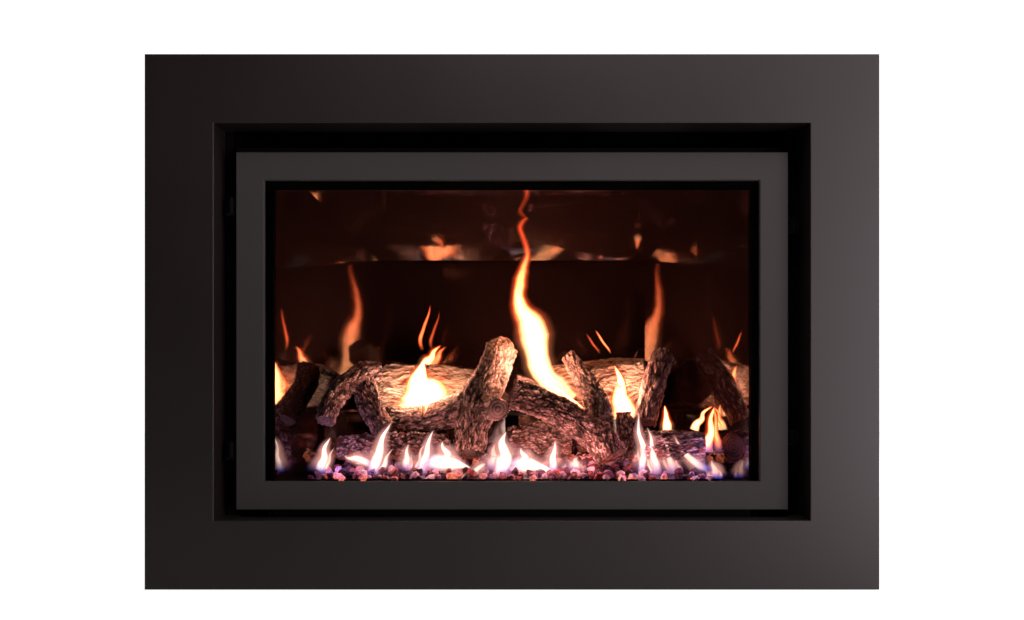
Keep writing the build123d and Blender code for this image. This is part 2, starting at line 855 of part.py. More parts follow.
with BuildPart() as valve_body:
    slab(valve_x, (valve_depth - 30, valve_depth + 30), (30, valve_height[1]))
    chamfer(valve_body.edges().filter_by(Axis.X), 5)
    slab((valve_x[0] + 8, valve_x[1] - 8), (valve_depth - 20, valve_depth + 20), (case_floor, 30))
    for x in valve_stem_x:
        boss = Plane(origin=(x, y_at(valve_depth - 30), valve_stem_z), z_dir=(0, -1, 0))
        with Locations(boss):
            Cylinder(9, 4)
            Cylinder(stem_radius + running_gap, 2 * stem_sink + 4, mode=Mode.SUBTRACT)
finish(valve_body, "valve_body")


def control_knob(x, front, height, reach):
    """Add a fluted knob facing the front, its pointer ridge and its stem."""
    face = Plane(origin=(x, y_at(front), height), x_dir=(1, 0, 0), z_dir=(0, -1, 0))
    with BuildSketch(face) as grip:
        Circle(knob_radius)
        with PolarLocations(knob_radius + 1, 12):
            Circle(2, mode=Mode.SUBTRACT)
    extrude(grip.sketch, amount=-knob_length)
    with BuildSketch(face) as pointer:
        with Locations((0, knob_radius / 2)):
            Rectangle(2.4, knob_radius - 2)
    extrude(pointer.sketch, amount=1.2)
    with Locations(Plane(origin=(x, y_at(front + knob_length), height), z_dir=(0, 1, 0))):
        Cylinder(stem_radius, reach, align=(Align.CENTER, Align.CENTER, Align.MIN))


for name, x in zip(("valve_knob", "flame_knob"), valve_stem_x):
    with BuildPart() as knob:
        control_knob(x, knob_front, valve_stem_z, 4 + stem_sink)
    finish(knob, name)

shutoff_length = 46
lever_length = 38

with BuildPart() as shutoff_valve:
    inlet = Plane(origin=(-case_half_front - 8, y_at(gas_inlet_depth), gas_inlet_height), z_dir=(1, 0, 0))
    with BuildSketch(inlet):
        Circle(gas_bore + 3.5)
    extrude(amount=shutoff_length + 8)
    with BuildSketch(inlet):
        Circle(gas_bore)
    extrude(amount=18, mode=Mode.SUBTRACT)
    slab(
        (-case_half_front + 14, -case_half_front + 40),
        (gas_inlet_depth - 16, gas_inlet_depth + 16),
        (gas_inlet_height - 15, gas_inlet_height + 15),
    )
    slab(
        (-case_half_front + 18, -case_half_front + 36),
        (gas_inlet_depth - 10, gas_inlet_depth + 10),
        (case_floor, gas_inlet_height - 15),
    )
    stem_hole = Plane(
        origin=(-case_half_front + 27, y_at(gas_inlet_depth - 16), gas_inlet_height),
        z_dir=(0, -1, 0),
    )
    with Locations(stem_hole):
        Cylinder(stem_radius + running_gap, 24, mode=Mode.SUBTRACT)
finish(shutoff_valve, "shutoff_valve")

with BuildPart() as shutoff_lever:
    pivot = Plane(
        origin=(-case_half_front + 27, y_at(gas_inlet_depth - 20), gas_inlet_height),
        x_dir=(1, 0, 0),
        z_dir=(0, -1, 0),
    )
    with BuildSketch(pivot):
        with Locations((lever_length / 2 - 6, 0)):
            SlotOverall(lever_length + 4, 13)
    extrude(amount=3)
    with Locations(pivot):
        Cylinder(stem_radius, 14, align=(Align.CENTER, Align.CENTER, Align.MAX))
finish(shutoff_lever, "shutoff_lever")

with BuildPart() as gas_line:
    line_start = -case_half_front + shutoff_length
    start = Plane(origin=(line_start, y_at(gas_inlet_depth), gas_inlet_height), z_dir=(1, 0, 0))
    with BuildSketch(start):
        Circle(6)
    extrude(amount=valve_x[0] - line_start)
    for x in (line_start, valve_x[0] - 12):
        with BuildSketch(Plane(origin=(x, y_at(gas_inlet_depth), gas_inlet_height), z_dir=(1, 0, 0))):
            RegularPolygon(10, 6)
        extrude(amount=12)
finish(gas_line, "gas_line")

module_x = (70, 200)
module_depth = (100, 170)
module_top = 74
tray_gap = 0.5
battery_x = (92, 178)
battery_z = (38, 60)
battery_radius = 7
battery_back = 152

with BuildPart() as control_module:
    slab(module_x, module_depth, (case_floor, module_top))
    fillet(control_module.edges().filter_by(Axis.Z), 4)
    slab(
        (battery_x[0] - tray_gap, battery_x[1] + tray_gap),
        (module_depth[0] - 1, battery_back + tray_gap),
        (battery_z[0] - tray_gap, battery_z[1] + tray_gap),
        mode=Mode.SUBTRACT,
    )
finish(control_module, "control_module")

with BuildPart() as battery_tray:
    slab(battery_x, (module_depth[0] - 3, battery_back), (battery_z[0], battery_z[1]))
    slab(
        (battery_x[0] + 2, battery_x[1] - 2),
        (module_depth[0] + 2, battery_back - 2),
        (battery_z[0] + 2, battery_z[1] + 1),
        mode=Mode.SUBTRACT,
    )
    for row in range(3):
        depth = module_depth[0] + 2.5 + battery_radius + row * (2 * battery_radius + 1)
        cell = Plane(
            origin=(battery_x[0] + 4, y_at(depth), battery_z[0] + 1.5 + battery_radius),
            z_dir=(1, 0, 0),
        )
        with BuildSketch(cell):
            Circle(battery_radius)
        extrude(amount=battery_x[1] - battery_x[0] - 8)
    slab(
        (battery_x[0] - 3, battery_x[1] + 3),
        (module_depth[0] - 3, module_depth[0] - seat_gap),
        (battery_z[0] - 3, battery_z[1] + 3),
    )
finish(battery_tray, "battery_tray")

box_x = (case_half_front - 2 * case_sheet - 72, case_half_front - 2 * case_sheet)
box_depth = (115, 185)
box_height = (case_floor, 82)
dial_x = (box_x[0] + box_x[1]) / 2

with BuildPart() as junction_box:
    slab(box_x, box_depth, box_height)
    slab(
        (box_x[0] + 2, box_x[1] + 1),
        (box_depth[0] + 16, box_depth[1] - 2),
        (box_height[0] + 2, box_height[1] - 2),
        mode=Mode.SUBTRACT,
    )
    dial_hole = Plane(origin=(dial_x, y_at(box_depth[0]), valve_stem_z), z_dir=(0, -1, 0))
    with Locations(dial_hole):
        Cylinder(stem_radius + running_gap, 2 * stem_sink, mode=Mode.SUBTRACT)
finish(junction_box, "junction_box")

with BuildPart() as fan_dial:
    control_knob(dial_x, box_depth[0] - knob_length - seat_gap, valve_stem_z, stem_sink)
finish(fan_dial, "fan_dial")

# ---------------------------------------------------------------- blower
scroll_inner = wheel_radius + scroll_gap
scroll_sheet = 1.2
scroll_inset = motor_length / 2 + 10
scroll_length = wheel_length + 12
scroll_top = 97
wheel_start = scroll_inset + 6

with BuildPart() as blower_housing:
    for side in (-1, 1):
        end = Plane(
            origin=(side * scroll_inset, y_at(blower_depth), blower_height),
            x_dir=(0, 1, 0),
            z_dir=(side, 0, 0),
        )
        turn = 1 if side > 0 else -1
        with BuildSketch(end):
            Circle(scroll_inner + scroll_sheet)
            with Locations((scroll_inner / 2 + scroll_sheet / 2, turn * (scroll_top - blower_height) / 2)):
                Rectangle(scroll_inner + scroll_sheet, scroll_top - blower_height)
            Circle(scroll_inner, mode=Mode.SUBTRACT)
            with Locations((scroll_inner / 2, turn * (scroll_top - blower_height) / 2)):
                Rectangle(scroll_inner, scroll_top - blower_height + 2, mode=Mode.SUBTRACT)
        extrude(amount=scroll_length)
        with BuildSketch(end):
            Circle(scroll_inner + scroll_sheet)
            Circle(wheel_radius * 0.8, mode=Mode.SUBTRACT)
        extrude(amount=scroll_sheet)
        far = end.offset(scroll_length - scroll_sheet)
        with BuildSketch(far):
            Circle(scroll_inner + scroll_sheet)
            Circle(wheel_radius * 0.8, mode=Mode.SUBTRACT)
        extrude(amount=scroll_sheet)
    slab(
        (-scroll_inset - scroll_length, scroll_inset + scroll_length),
        (blower_depth - 20, blower_depth + 20),
        (case_floor, case_floor + 3),
    )
    for side in (-1, 1):
        slab(
            sorted((side * (scroll_inset + 20), side * (scroll_inset + scroll_length - 20))),
            (blower_depth - 4, blower_depth + 4),
            (case_floor + 3, blower_height - scroll_inner - 0.4),
        )
finish(blower_housing, "blower_housing")

with BuildPart() as blower_motor:
    body = Plane(origin=(-motor_length / 2, y_at(blower_depth), blower_height), z_dir=(1, 0, 0))
    with BuildSketch(body):
        Circle(motor_radius)
    extrude(amount=motor_length)
    chamfer(blower_motor.edges().filter_by(GeomType.CIRCLE), 3)
    slab(
        (-motor_length / 2 + 12, motor_length / 2 - 12),
        (blower_depth - 16, blower_depth + 16),
        (case_floor + 3, blower_height - motor_radius * 0.7),
    )
    with Locations(Plane(origin=(0, y_at(blower_depth), blower_height), z_dir=(1, 0, 0))):
        Cylinder(stem_radius + running_gap, motor_length + 20, mode=Mode.SUBTRACT)
finish(blower_motor, "blower_motor")

blade_sheet = 1

with BuildPart() as blower_rotor:
    with Locations(Plane(origin=(0, y_at(blower_depth), blower_height), z_dir=(1, 0, 0))):
        Cylinder(stem_radius, 2 * (wheel_start + wheel_length * 0.9))
    for side in (-1, 1):
        hub = Plane(
            origin=(side * wheel_start, y_at(blower_depth), blower_height),
            x_dir=(0, 1, 0),
            z_dir=(side, 0, 0),
        )
        with BuildSketch(hub):
            with PolarLocations(wheel_radius - 4, wheel_blades):
                Rectangle(7, blade_sheet, rotation=35)
        extrude(amount=wheel_length)
        for at in (0, wheel_length - 2):
            with BuildSketch(hub.offset(at)):
                Circle(wheel_radius)
                Circle(wheel_radius - 7, mode=Mode.SUBTRACT)
            extrude(amount=2)
        with BuildSketch(hub.offset(wheel_length / 2)):
            Circle(wheel_radius)
        extrude(amount=2)
finish(blower_rotor, "blower_rotor")

# ---------------------------------------------------------------- door
glass_front = door_depth + door_lip
retainer_front = glass_front + glass_sheet
gasket_front = retainer_front + retainer_sheet
latch_x = door_edge + 8.5
latch_depth = hinge_depth
ear_thick = 3
ear_reach = latch_x + 5

with BuildPart() as door_frame:
    with BuildSketch(facing(door_depth)):
        upright_ring(pane_width, pane_height, door_rail, door_mid)
    extrude(amount=-door_thick)
    front_edges = door_frame.edges().filter_by_position(Axis.Y, y_at(door_depth), y_at(door_depth))
    chamfer(front_edges, door_sheet / 2)
    with BuildSketch(facing(door_depth + door_sheet)):
        upright_ring(
            pane_width + 2 * door_sheet,
            pane_height + 2 * door_sheet,
            door_rail - 2 * door_sheet,
            door_mid,
        )
    extrude(amount=-door_thick, mode=Mode.SUBTRACT)
    with BuildSketch(facing(glass_front)):
        with Locations((0, door_mid)):
            Rectangle(pane_width + 4 * door_sheet, pane_height + 4 * door_sheet)
    extrude(amount=-door_thick, mode=Mode.SUBTRACT)
    for height in hinge_heights:
        low = height + seat_gap
        slab(
            (hinge_x, -door_edge + 1),
            (hinge_depth - 4, hinge_depth + 4),
            (low, low + knuckle_length - 3),
        )
        with Locations((hinge_x, y_at(hinge_depth), low)):
            Cylinder(knuckle_radius, knuckle_length - 3, align=(Align.CENTER, Align.CENTER, Align.MIN))
            Cylinder(pin_radius + running_gap, 3 * knuckle_length, mode=Mode.SUBTRACT)
    for height in latch_heights:
        for side in (-1, 1):
            ear = height + side * (latch_width / 2 + seat_gap + ear_thick / 2)
            slab(
                (door_edge - 1, ear_reach),
                (latch_depth - 5, latch_depth + 5),
                (ear - ear_thick / 2, ear + ear_thick / 2),
            )
        with Locations((latch_x, y_at(latch_depth), height)):
            Cylinder(latch_pin_radius, latch_width + 2 * ear_thick)
finish(door_frame, "door_frame")

with BuildPart() as door_glass:
    with BuildSketch(facing(glass_front)):
        with Locations((0, door_mid)):
            Rectangle(pane_width + 2 * glass_bite, pane_height + 2 * glass_bite)
    extrude(amount=-glass_sheet)
finish(door_glass, "door_glass")

with BuildPart() as glass_retainer:
    with BuildSketch(facing(retainer_front)):
        inner_w = pane_width + 2 * (glass_bite - retainer_bite)
        inner_h = pane_height + 2 * (glass_bite - retainer_bite)
        upright_ring(inner_w, inner_h, retainer_bite + 0.5, door_mid)
    extrude(amount=-retainer_sheet)
    with BuildSketch(facing(door_depth + door_thick)):
        upright_ring(inner_w, inner_h, door_rail - glass_bite + retainer_bite, door_mid)
    extrude(amount=-retainer_sheet)
    with BuildSketch(facing(gasket_front)):
        upright_ring(inner_w, inner_h, retainer_sheet, door_mid)
    extrude(amount=-(door_depth + door_thick - gasket_front))
finish(glass_retainer, "glass_retainer")

gasket_start = door_depth + door_thick + retainer_sheet

with BuildPart() as door_gasket:
    with BuildSketch(facing(gasket_start)):
        upright_ring(inner_w + 4, inner_h + 4, gasket_width, door_mid)
    extrude(amount=-(face_depth - seat_gap - gasket_start))
finish(door_gasket, "door_gasket")

latch_boss = 5
arm_inner = keeper_edge + 0.8
arm_outer = arm_inner + 3.5
nose_inner = face_half + 1.5
nose_front = face_depth + face_sheet + latch_gap
nose_thick = 3

for name, height in zip(("lower", "upper"), latch_heights):
    with BuildPart() as latch:
        with BuildSketch(Plane.XY.offset(height - latch_width / 2)):
            with BuildLine():
                Polyline(
                    (arm_inner, y_at(latch_depth - 12)),
                    (arm_outer, y_at(latch_depth - 12)),
                    (arm_outer, y_at(nose_front + nose_thick)),
                    (nose_inner, y_at(nose_front + nose_thick)),
                    (nose_inner, y_at(nose_front)),
                    (arm_inner, y_at(nose_front)),
                    close=True,
                )
            make_face()
            with Locations(((latch_x + arm_outer) / 2, y_at(latch_depth))):
                Rectangle(arm_outer - latch_x, 2 * latch_boss)
            with Locations((latch_x, y_at(latch_depth))):
                Circle(latch_boss)
                Circle(latch_pin_radius + running_gap, mode=Mode.SUBTRACT)
        extrude(amount=latch_width)
    finish(latch, "latch_" + name)
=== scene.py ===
import json
import math
import random

import bmesh
import bpy
import numpy as np
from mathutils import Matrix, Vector, noise


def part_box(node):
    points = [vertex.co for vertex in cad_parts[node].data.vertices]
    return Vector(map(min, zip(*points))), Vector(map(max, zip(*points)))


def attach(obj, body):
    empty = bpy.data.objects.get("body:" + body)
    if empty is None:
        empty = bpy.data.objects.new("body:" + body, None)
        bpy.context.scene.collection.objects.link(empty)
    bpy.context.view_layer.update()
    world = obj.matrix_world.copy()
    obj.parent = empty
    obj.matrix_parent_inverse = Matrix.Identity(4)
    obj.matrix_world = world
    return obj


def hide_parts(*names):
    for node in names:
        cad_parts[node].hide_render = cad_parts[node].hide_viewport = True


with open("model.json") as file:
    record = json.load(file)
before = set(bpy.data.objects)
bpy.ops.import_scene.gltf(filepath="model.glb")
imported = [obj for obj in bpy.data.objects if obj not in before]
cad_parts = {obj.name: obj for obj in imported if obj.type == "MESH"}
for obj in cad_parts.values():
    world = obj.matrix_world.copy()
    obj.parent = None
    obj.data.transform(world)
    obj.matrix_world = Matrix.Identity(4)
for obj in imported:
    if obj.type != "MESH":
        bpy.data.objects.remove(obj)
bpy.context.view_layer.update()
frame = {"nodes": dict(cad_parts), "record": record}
nodes = frame["nodes"]
slotOf = {part["node"]: part["material_slot"] for part in frame["record"]["subparts"]}
print("frame loaded:", len(nodes), "nodes")

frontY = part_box("surround_panel")[0].y  # the surround's front face
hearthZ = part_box("ember_media")[1].z  # top of the ember bed
wrapLow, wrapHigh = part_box("casing_wrapper")


def place(x, depth, z):  # millimetres, depth counted back from the surround's face
    return Vector((x / 1000, frontY + depth / 1000, z / 1000))


# ---- shared shader groups
def newGroup(name, inputs, outputs):
    tree = bpy.data.node_groups.new(name, "ShaderNodeTree")
    for label, value in inputs.items():
        socket = tree.interface.new_socket(label, in_out="INPUT", socket_type="NodeSocketFloat")
        socket.default_value = value
    for label in outputs:
        tree.interface.new_socket(label, in_out="OUTPUT", socket_type="NodeSocketFloat")
    return tree, tree.nodes.new("NodeGroupInput"), tree.nodes.new("NodeGroupOutput")


def mathNode(tree, operation, a, b=None, clamp=False):
    node = tree.nodes.new("ShaderNodeMath")
    node.operation = operation
    node.use_clamp = clamp
    for index, value in enumerate((a, b)):
        if value is None:
            continue
        if isinstance(value, (int, float)):
            node.inputs[index].default_value = value
        else:
            tree.links.new(value, node.inputs[index])
    return node.outputs[0]


def noiseNode(tree, vector, scale, detail=3.0, rough=0.55):
    node = tree.nodes.new("ShaderNodeTexNoise")
    node.inputs["Detail"].default_value = detail
    node.inputs["Roughness"].default_value = rough
    if isinstance(scale, (int, float)):
        node.inputs["Scale"].default_value = scale
    else:
        tree.links.new(scale, node.inputs["Scale"])
    tree.links.new(vector, node.inputs["Vector"])
    return node.outputs["Fac"]


def weighted(tree, *parts):  # each socket times its weight, added up
    total = None
    for socket, weight in parts:
        share = mathNode(tree, "MULTIPLY", socket, weight)
        total = share if total is None else mathNode(tree, "ADD", total, share)
    return total


def mapRange(tree, value, limits, smooth=False):
    node = tree.nodes.new("ShaderNodeMapRange")
    if smooth:
        node.interpolation_type = "SMOOTHSTEP"
    for label, limit in limits.items():
        node.inputs[label].default_value = limit
    tree.links.new(value, node.inputs["Value"])
    return node.outputs[0]


def readValue(tree, name, output="Fac"):
    node = tree.nodes.new("ShaderNodeAttribute")
    node.attribute_name = name
    return node.outputs[output]


def mixColour(tree, factor, a, b):
    node = tree.nodes.new("ShaderNodeMix")
    node.data_type = "RGBA"
    tree.links.new(factor, node.inputs[0])
    for socket, value in ((node.inputs[6], a), (node.inputs[7], b)):
        if isinstance(value, tuple):
            socket.default_value = (*value, 1.0)
        else:
            tree.links.new(value, socket)
    return node.outputs[2]


def vectorNode(tree, operation, a, b):
    node = tree.nodes.new("ShaderNodeVectorMath")
    node.operation = operation
    tree.links.new(a, node.inputs[0])
    if isinstance(b, tuple):
        node.inputs[1].default_value = b
    else:
        tree.links.new(b, node.inputs[1])
    return node


def objectPlace(tree):
    return tree.nodes.new("ShaderNodeTexCoord").outputs["Object"]


def makePowderGroup():  # orange-peel relief and slow cloudiness of a sprayed coat
    tree, given, out = newGroup("powderCoat", {"Grain": 900.0, "Cloud": 5.0}, ("Height", "Tone"))
    spot = objectPlace(tree)
    fine = noiseNode(tree, spot, given.outputs["Grain"], 2.0)
    slow = noiseNode(tree, spot, given.outputs["Cloud"], 4.0)
    tree.links.new(fine, out.inputs["Height"])
    tree.links.new(weighted(tree, (slow, 0.8), (fine, 0.2)), out.inputs["Tone"])
    return tree


def makeRolledGroup():  # long grain of rolled or machined metal, with the spangle of a dipped coat
    tree, given, out = newGroup("rolledGrain", {"Stretch": 40.0, "Spangle": 95.0}, ("Height", "Tone"))
    spot = objectPlace(tree)
    mapping = tree.nodes.new("ShaderNodeMapping")
    mapping.inputs["Scale"].default_value = (1.0, 1.0, 30.0)
    tree.links.new(spot, mapping.inputs["Vector"])
    grain = noiseNode(tree, mapping.outputs[0], given.outputs["Stretch"], 4.0)
    cells = tree.nodes.new("ShaderNodeTexVoronoi")
    tree.links.new(spot, cells.inputs["Vector"])
    tree.links.new(given.outputs["Spangle"], cells.inputs["Scale"])
    shade = tree.nodes.new("ShaderNodeSeparateColor")
    tree.links.new(cells.outputs["Color"], shade.inputs[0])
    tree.links.new(grain, out.inputs["Height"])
    tree.links.new(weighted(tree, (grain, 0.75), (shade.outputs[0], 0.25)), out.inputs["Tone"])
    return tree


powderCoat = makePowderGroup()
rolledGrain = makeRolledGroup()


def newMaterial(name):
    material = bpy.data.materials.new(name)
    material.use_nodes = True
    tree = material.node_tree
    tree.nodes.clear()
    shader = tree.nodes.new("ShaderNodeBsdfPrincipled")
    out = tree.nodes.new("ShaderNodeOutputMaterial")
    tree.links.new(shader.outputs[0], out.inputs[0])
    return material, tree, shader


def ramp(tree, factor, stops):
    node = tree.nodes.new("ShaderNodeValToRGB")
    elements = node.color_ramp.elements
    while len(elements) < len(stops):
        elements.new(0.5)
    for element, (position, colour) in zip(elements, stops):
        element.position = position
        element.color = (*colour, 1.0)
    tree.links.new(factor, node.inputs[0])
    return node.outputs[0]


def useGroup(tree, group, **values):
    node = tree.nodes.new("ShaderNodeGroup")
    node.node_tree = group
    for label, value in values.items():
        node.inputs[label].default_value = value
    return node.outputs["Height"], node.outputs["Tone"]


def addBump(tree, shader, height, strength, distance):
    bump = tree.nodes.new("ShaderNodeBump")
    bump.inputs["Strength"].default_value = strength
    bump.inputs["Distance"].default_value = distance
    tree.links.new(height, bump.inputs["Height"])
    tree.links.new(bump.outputs[0], shader.inputs["Normal"])


def roughen(tree, shader, tone, smoothest, roughest):
    tree.links.new(mapRange(tree, tone, {"To Min": smoothest, "To Max": roughest}), shader.inputs["Roughness"])


def coatedMetal(name, dark, light, roughness, gloss, grain=900.0, bump=0.12):
    material, tree, shader = newMaterial(name)
    height, tone = useGroup(tree, powderCoat, Grain=grain, Cloud=4.0)
    tree.links.new(ramp(tree, tone, [(0.3, dark), (0.7, light)]), shader.inputs["Base Color"])
    roughen(tree, shader, tone, roughness - 0.04, roughness + 0.04)
    shader.inputs["Specular IOR Level"].default_value = gloss
    addBump(tree, shader, height, bump, 0.0002)
    return material


def bareMetal(name, dark, light, roughness, spangle=95.0):
    material, tree, shader = newMaterial(name)
    height, tone = useGroup(tree, rolledGrain, Stretch=40.0, Spangle=spangle)
    tree.links.new(ramp(tree, tone, [(0.25, dark), (0.75, light)]), shader.inputs["Base Color"])
    roughen(tree, shader, tone, roughness - 0.08, roughness + 0.08)
    shader.inputs["Metallic"].default_value = 1.0
    addBump(tree, shader, height, 0.15, 0.0003)
    return material


# painted shade: what shows in the slot round the door is coloured near-black and made dull and unmetallic
# (doorEdge, screwDepth in m)
slotShade = {"colour": (0.0016, 0.0015, 0.0014), "gloss": 0.05, "doorEdge": 0.4288, "screwDepth": 0.08}


def blacken(material, mask):  # mask: a function of the tree that gives a socket, 1 where the painted shade turns the finish near-black
    tree = material.node_tree
    shader = next(node for node in tree.nodes if node.type == "BSDF_PRINCIPLED")
    black = mask(tree)
    own = shader.inputs["Base Color"].links[0].from_socket
    tree.links.new(mixColour(tree, black, own, slotShade["colour"]), shader.inputs["Base Color"])
    bare = mathNode(tree, "SUBTRACT", 1.0, black)
    for label, hidden in (("Metallic", 0.0), ("Specular IOR Level", slotShade["gloss"])):
        socket = shader.inputs[label]
        shine = mathNode(tree, "MULTIPLY", bare, socket.default_value - hidden)
        tree.links.new(mathNode(tree, "ADD", shine, hidden), socket)
    return material


def coordinate(tree, axis):
    split = tree.nodes.new("ShaderNodeSeparateXYZ")
    tree.links.new(objectPlace(tree), split.inputs[0])
    return split.outputs[axis]


def facesIn(tree):  # a casing sheet's front rim and the side that looks into the casing
    spot = tree.nodes.new("ShaderNodeTexCoord")
    middle = (0.0, frontY, (wrapLow.z + wrapHigh.z) / 2)
    offset = vectorNode(tree, "SUBTRACT", spot.outputs["Object"], middle)
    facing = vectorNode(tree, "DOT_PRODUCT", spot.outputs["Normal"], offset.outputs[0])
    return mathNode(tree, "LESS_THAN", facing.outputs["Value"], 0.0)


def belowTop(tree):
    return mathNode(tree, "LESS_THAN", coordinate(tree, "Z"), wrapHigh.z)


def pastDoor(tree):
    sideways = mathNode(tree, "ABSOLUTE", coordinate(tree, "X"))
    return mathNode(tree, "GREATER_THAN", sideways, slotShade["doorEdge"])


def nearFront(tree):
    return mathNode(tree, "LESS_THAN", coordinate(tree, "Y"), frontY + slotShade["screwDepth"])


def makeLinerGlass():  # black mirror-gloss panels, faintly hazed by heat
    material, tree, shader = newMaterial("linerGlass")
    height, tone = useGroup(tree, powderCoat, Grain=25.0, Cloud=3.0)
    tree.links.new(ramp(tree, tone, [(0.3, (0.0022, 0.0009, 0.0008)), (0.75, (0.004, 0.0016, 0.0014))]),
                   shader.inputs["Base Color"])
    roughen(tree, shader, tone, 0.02, 0.07)
    shader.inputs["IOR"].default_value = 2.8
    addBump(tree, shader, height, 0.02, 0.001)
    return material


def makeClearGlass():
    material, tree, shader = newMaterial("clearGlass")
    tone = useGroup(tree, powderCoat, Grain=12.0, Cloud=3.0)[1]
    tree.links.new(ramp(tree, tone, [(0.3, (0.97, 0.98, 0.98)), (0.7, (1.0, 1.0, 1.0))]),
                   shader.inputs["Base Color"])
    shader.inputs["Roughness"].default_value = 0.0
    shader.inputs["Transmission Weight"].default_value = 1.0
    shader.inputs["IOR"].default_value = 1.45
    return material


def makeRope():  # braided glass-fibre rope
    material, tree, shader = newMaterial("ropeFibre")
    wave = tree.nodes.new("ShaderNodeTexWave")
    wave.inputs["Scale"].default_value = 180.0
    wave.inputs["Distortion"].default_value = 3.0
    tree.links.new(objectPlace(tree), wave.inputs["Vector"])
    tree.links.new(ramp(tree, wave.outputs["Fac"], [(0.2, (0.02, 0.02, 0.02)), (0.8, (0.11, 0.105, 0.1))]),
                   shader.inputs["Base Color"])
    shader.inputs["Roughness"].default_value = 0.95
    addBump(tree, shader, wave.outputs["Fac"], 0.7, 0.0008)
    return material


def makePlastic():
    material, tree, shader = newMaterial("blackPlastic")
    height, tone = useGroup(tree, powderCoat, Grain=2200.0, Cloud=12.0)
    tree.links.new(ramp(tree, tone, [(0.3, (0.016, 0.016, 0.017)), (0.7, (0.028, 0.028, 0.029))]),
                   shader.inputs["Base Color"])
    shader.inputs["Roughness"].default_value = 0.5
    addBump(tree, shader, height, 0.2, 0.0002)
    return material


# coats: dark tone, light tone, roughness, gloss, grain, bump; metals: dark, light, roughness, spangle
bronze = ((0.0088, 0.0056, 0.0050), (0.0110, 0.0070, 0.0064), 0.42, 0.5, 700.0)
graphite = ((0.030, 0.027, 0.026), (0.036, 0.033, 0.032), 0.62, 0.22, 1100.0, 0.2)
stoveBlack = ((0.0010, 0.0010, 0.0010), (0.0022, 0.0021, 0.0020), 0.8, 0.06, 1500.0, 0.25)
steel = ((0.30, 0.31, 0.32), (0.48, 0.49, 0.50), 0.42)
aluminium = ((0.42, 0.42, 0.43), (0.60, 0.60, 0.61), 0.5, 300.0)
brass = ((0.45, 0.30, 0.10), (0.62, 0.44, 0.18), 0.35, 200.0)
slotMaterials = {
    "surround_paint": coatedMetal("bronzeCoat", *bronze),
    # painted shade: the door's ears past its edge, in the slot, are coloured near-black
    "door_paint": blacken(coatedMetal("graphiteCoat", *graphite), pastDoor),
    "stove_black": coatedMetal("stoveBlack", *stoveBlack),
    "plated_steel": bareMetal("platedSteel", *steel),
    "liner_glass": makeLinerGlass(),
    "clear_glass": makeClearGlass(),
    "rope_fibre": makeRope(),
    "aluminium": bareMetal("castAluminium", *aluminium),
    "brass": bareMetal("machinedBrass", *brass),
    "black_plastic": makePlastic(),
}
# painted shade: the casing's inner faces and front rims, the collars below the casing top and the screws near the
# surround's face are coloured near-black
casingSteel = blacken(bareMetal("casingSteel", *steel), facesIn)
collarSteel = blacken(bareMetal("collarSteel", *steel), belowTop)
screwSteel = blacken(bareMetal("screwSteel", *steel), nearFront)
nodeMaterials = {"casing_base": casingSteel, "casing_wrapper": casingSteel, "casing_top": casingSteel,
                 "exhaust_collar": collarSteel, "intake_collar": collarSteel}
for name, node in nodes.items():
    finish = nodeMaterials.get(name, slotMaterials.get(slotOf[name]))
    if finish is None:
        continue  # logs and embers are replaced below
    if not node.material_slots:
        node.data.materials.append(finish)
    for holder in node.material_slots:
        holder.material = finish
print("finishes assigned")


# ---- mesh helpers
def newObject(name, mesh):
    thing = bpy.data.objects.new(name, mesh)
    bpy.context.scene.collection.objects.link(thing)
    return thing


def bake(thing):  # the modifiers' result as a plain mesh
    graph = bpy.context.evaluated_depsgraph_get()
    mesh = bpy.data.meshes.new_from_object(thing.evaluated_get(graph))
    mesh.name = thing.name
    thing.modifiers.clear()
    thing.data = mesh
    return thing


def copyNode(node, name):  # a CAD node's mesh with its loose corners joined
    mesh = nodes[node].data.copy()
    work = bmesh.new()
    work.from_mesh(mesh)
    bmesh.ops.remove_doubles(work, verts=work.verts, dist=1e-5)
    work.to_mesh(mesh)
    work.free()
    mesh.materials.clear()
    return newObject(name, mesh)


def setValues(mesh, name, values):
    layer = mesh.attributes.new(name, "FLOAT", "POINT")
    layer.data.foreach_set("value", np.asarray(values, np.float32))


def readVectors(items, name):
    values = np.empty(len(items) * 3, np.float32)
    items.foreach_get(name, values)
    return values.reshape(-1, 3)
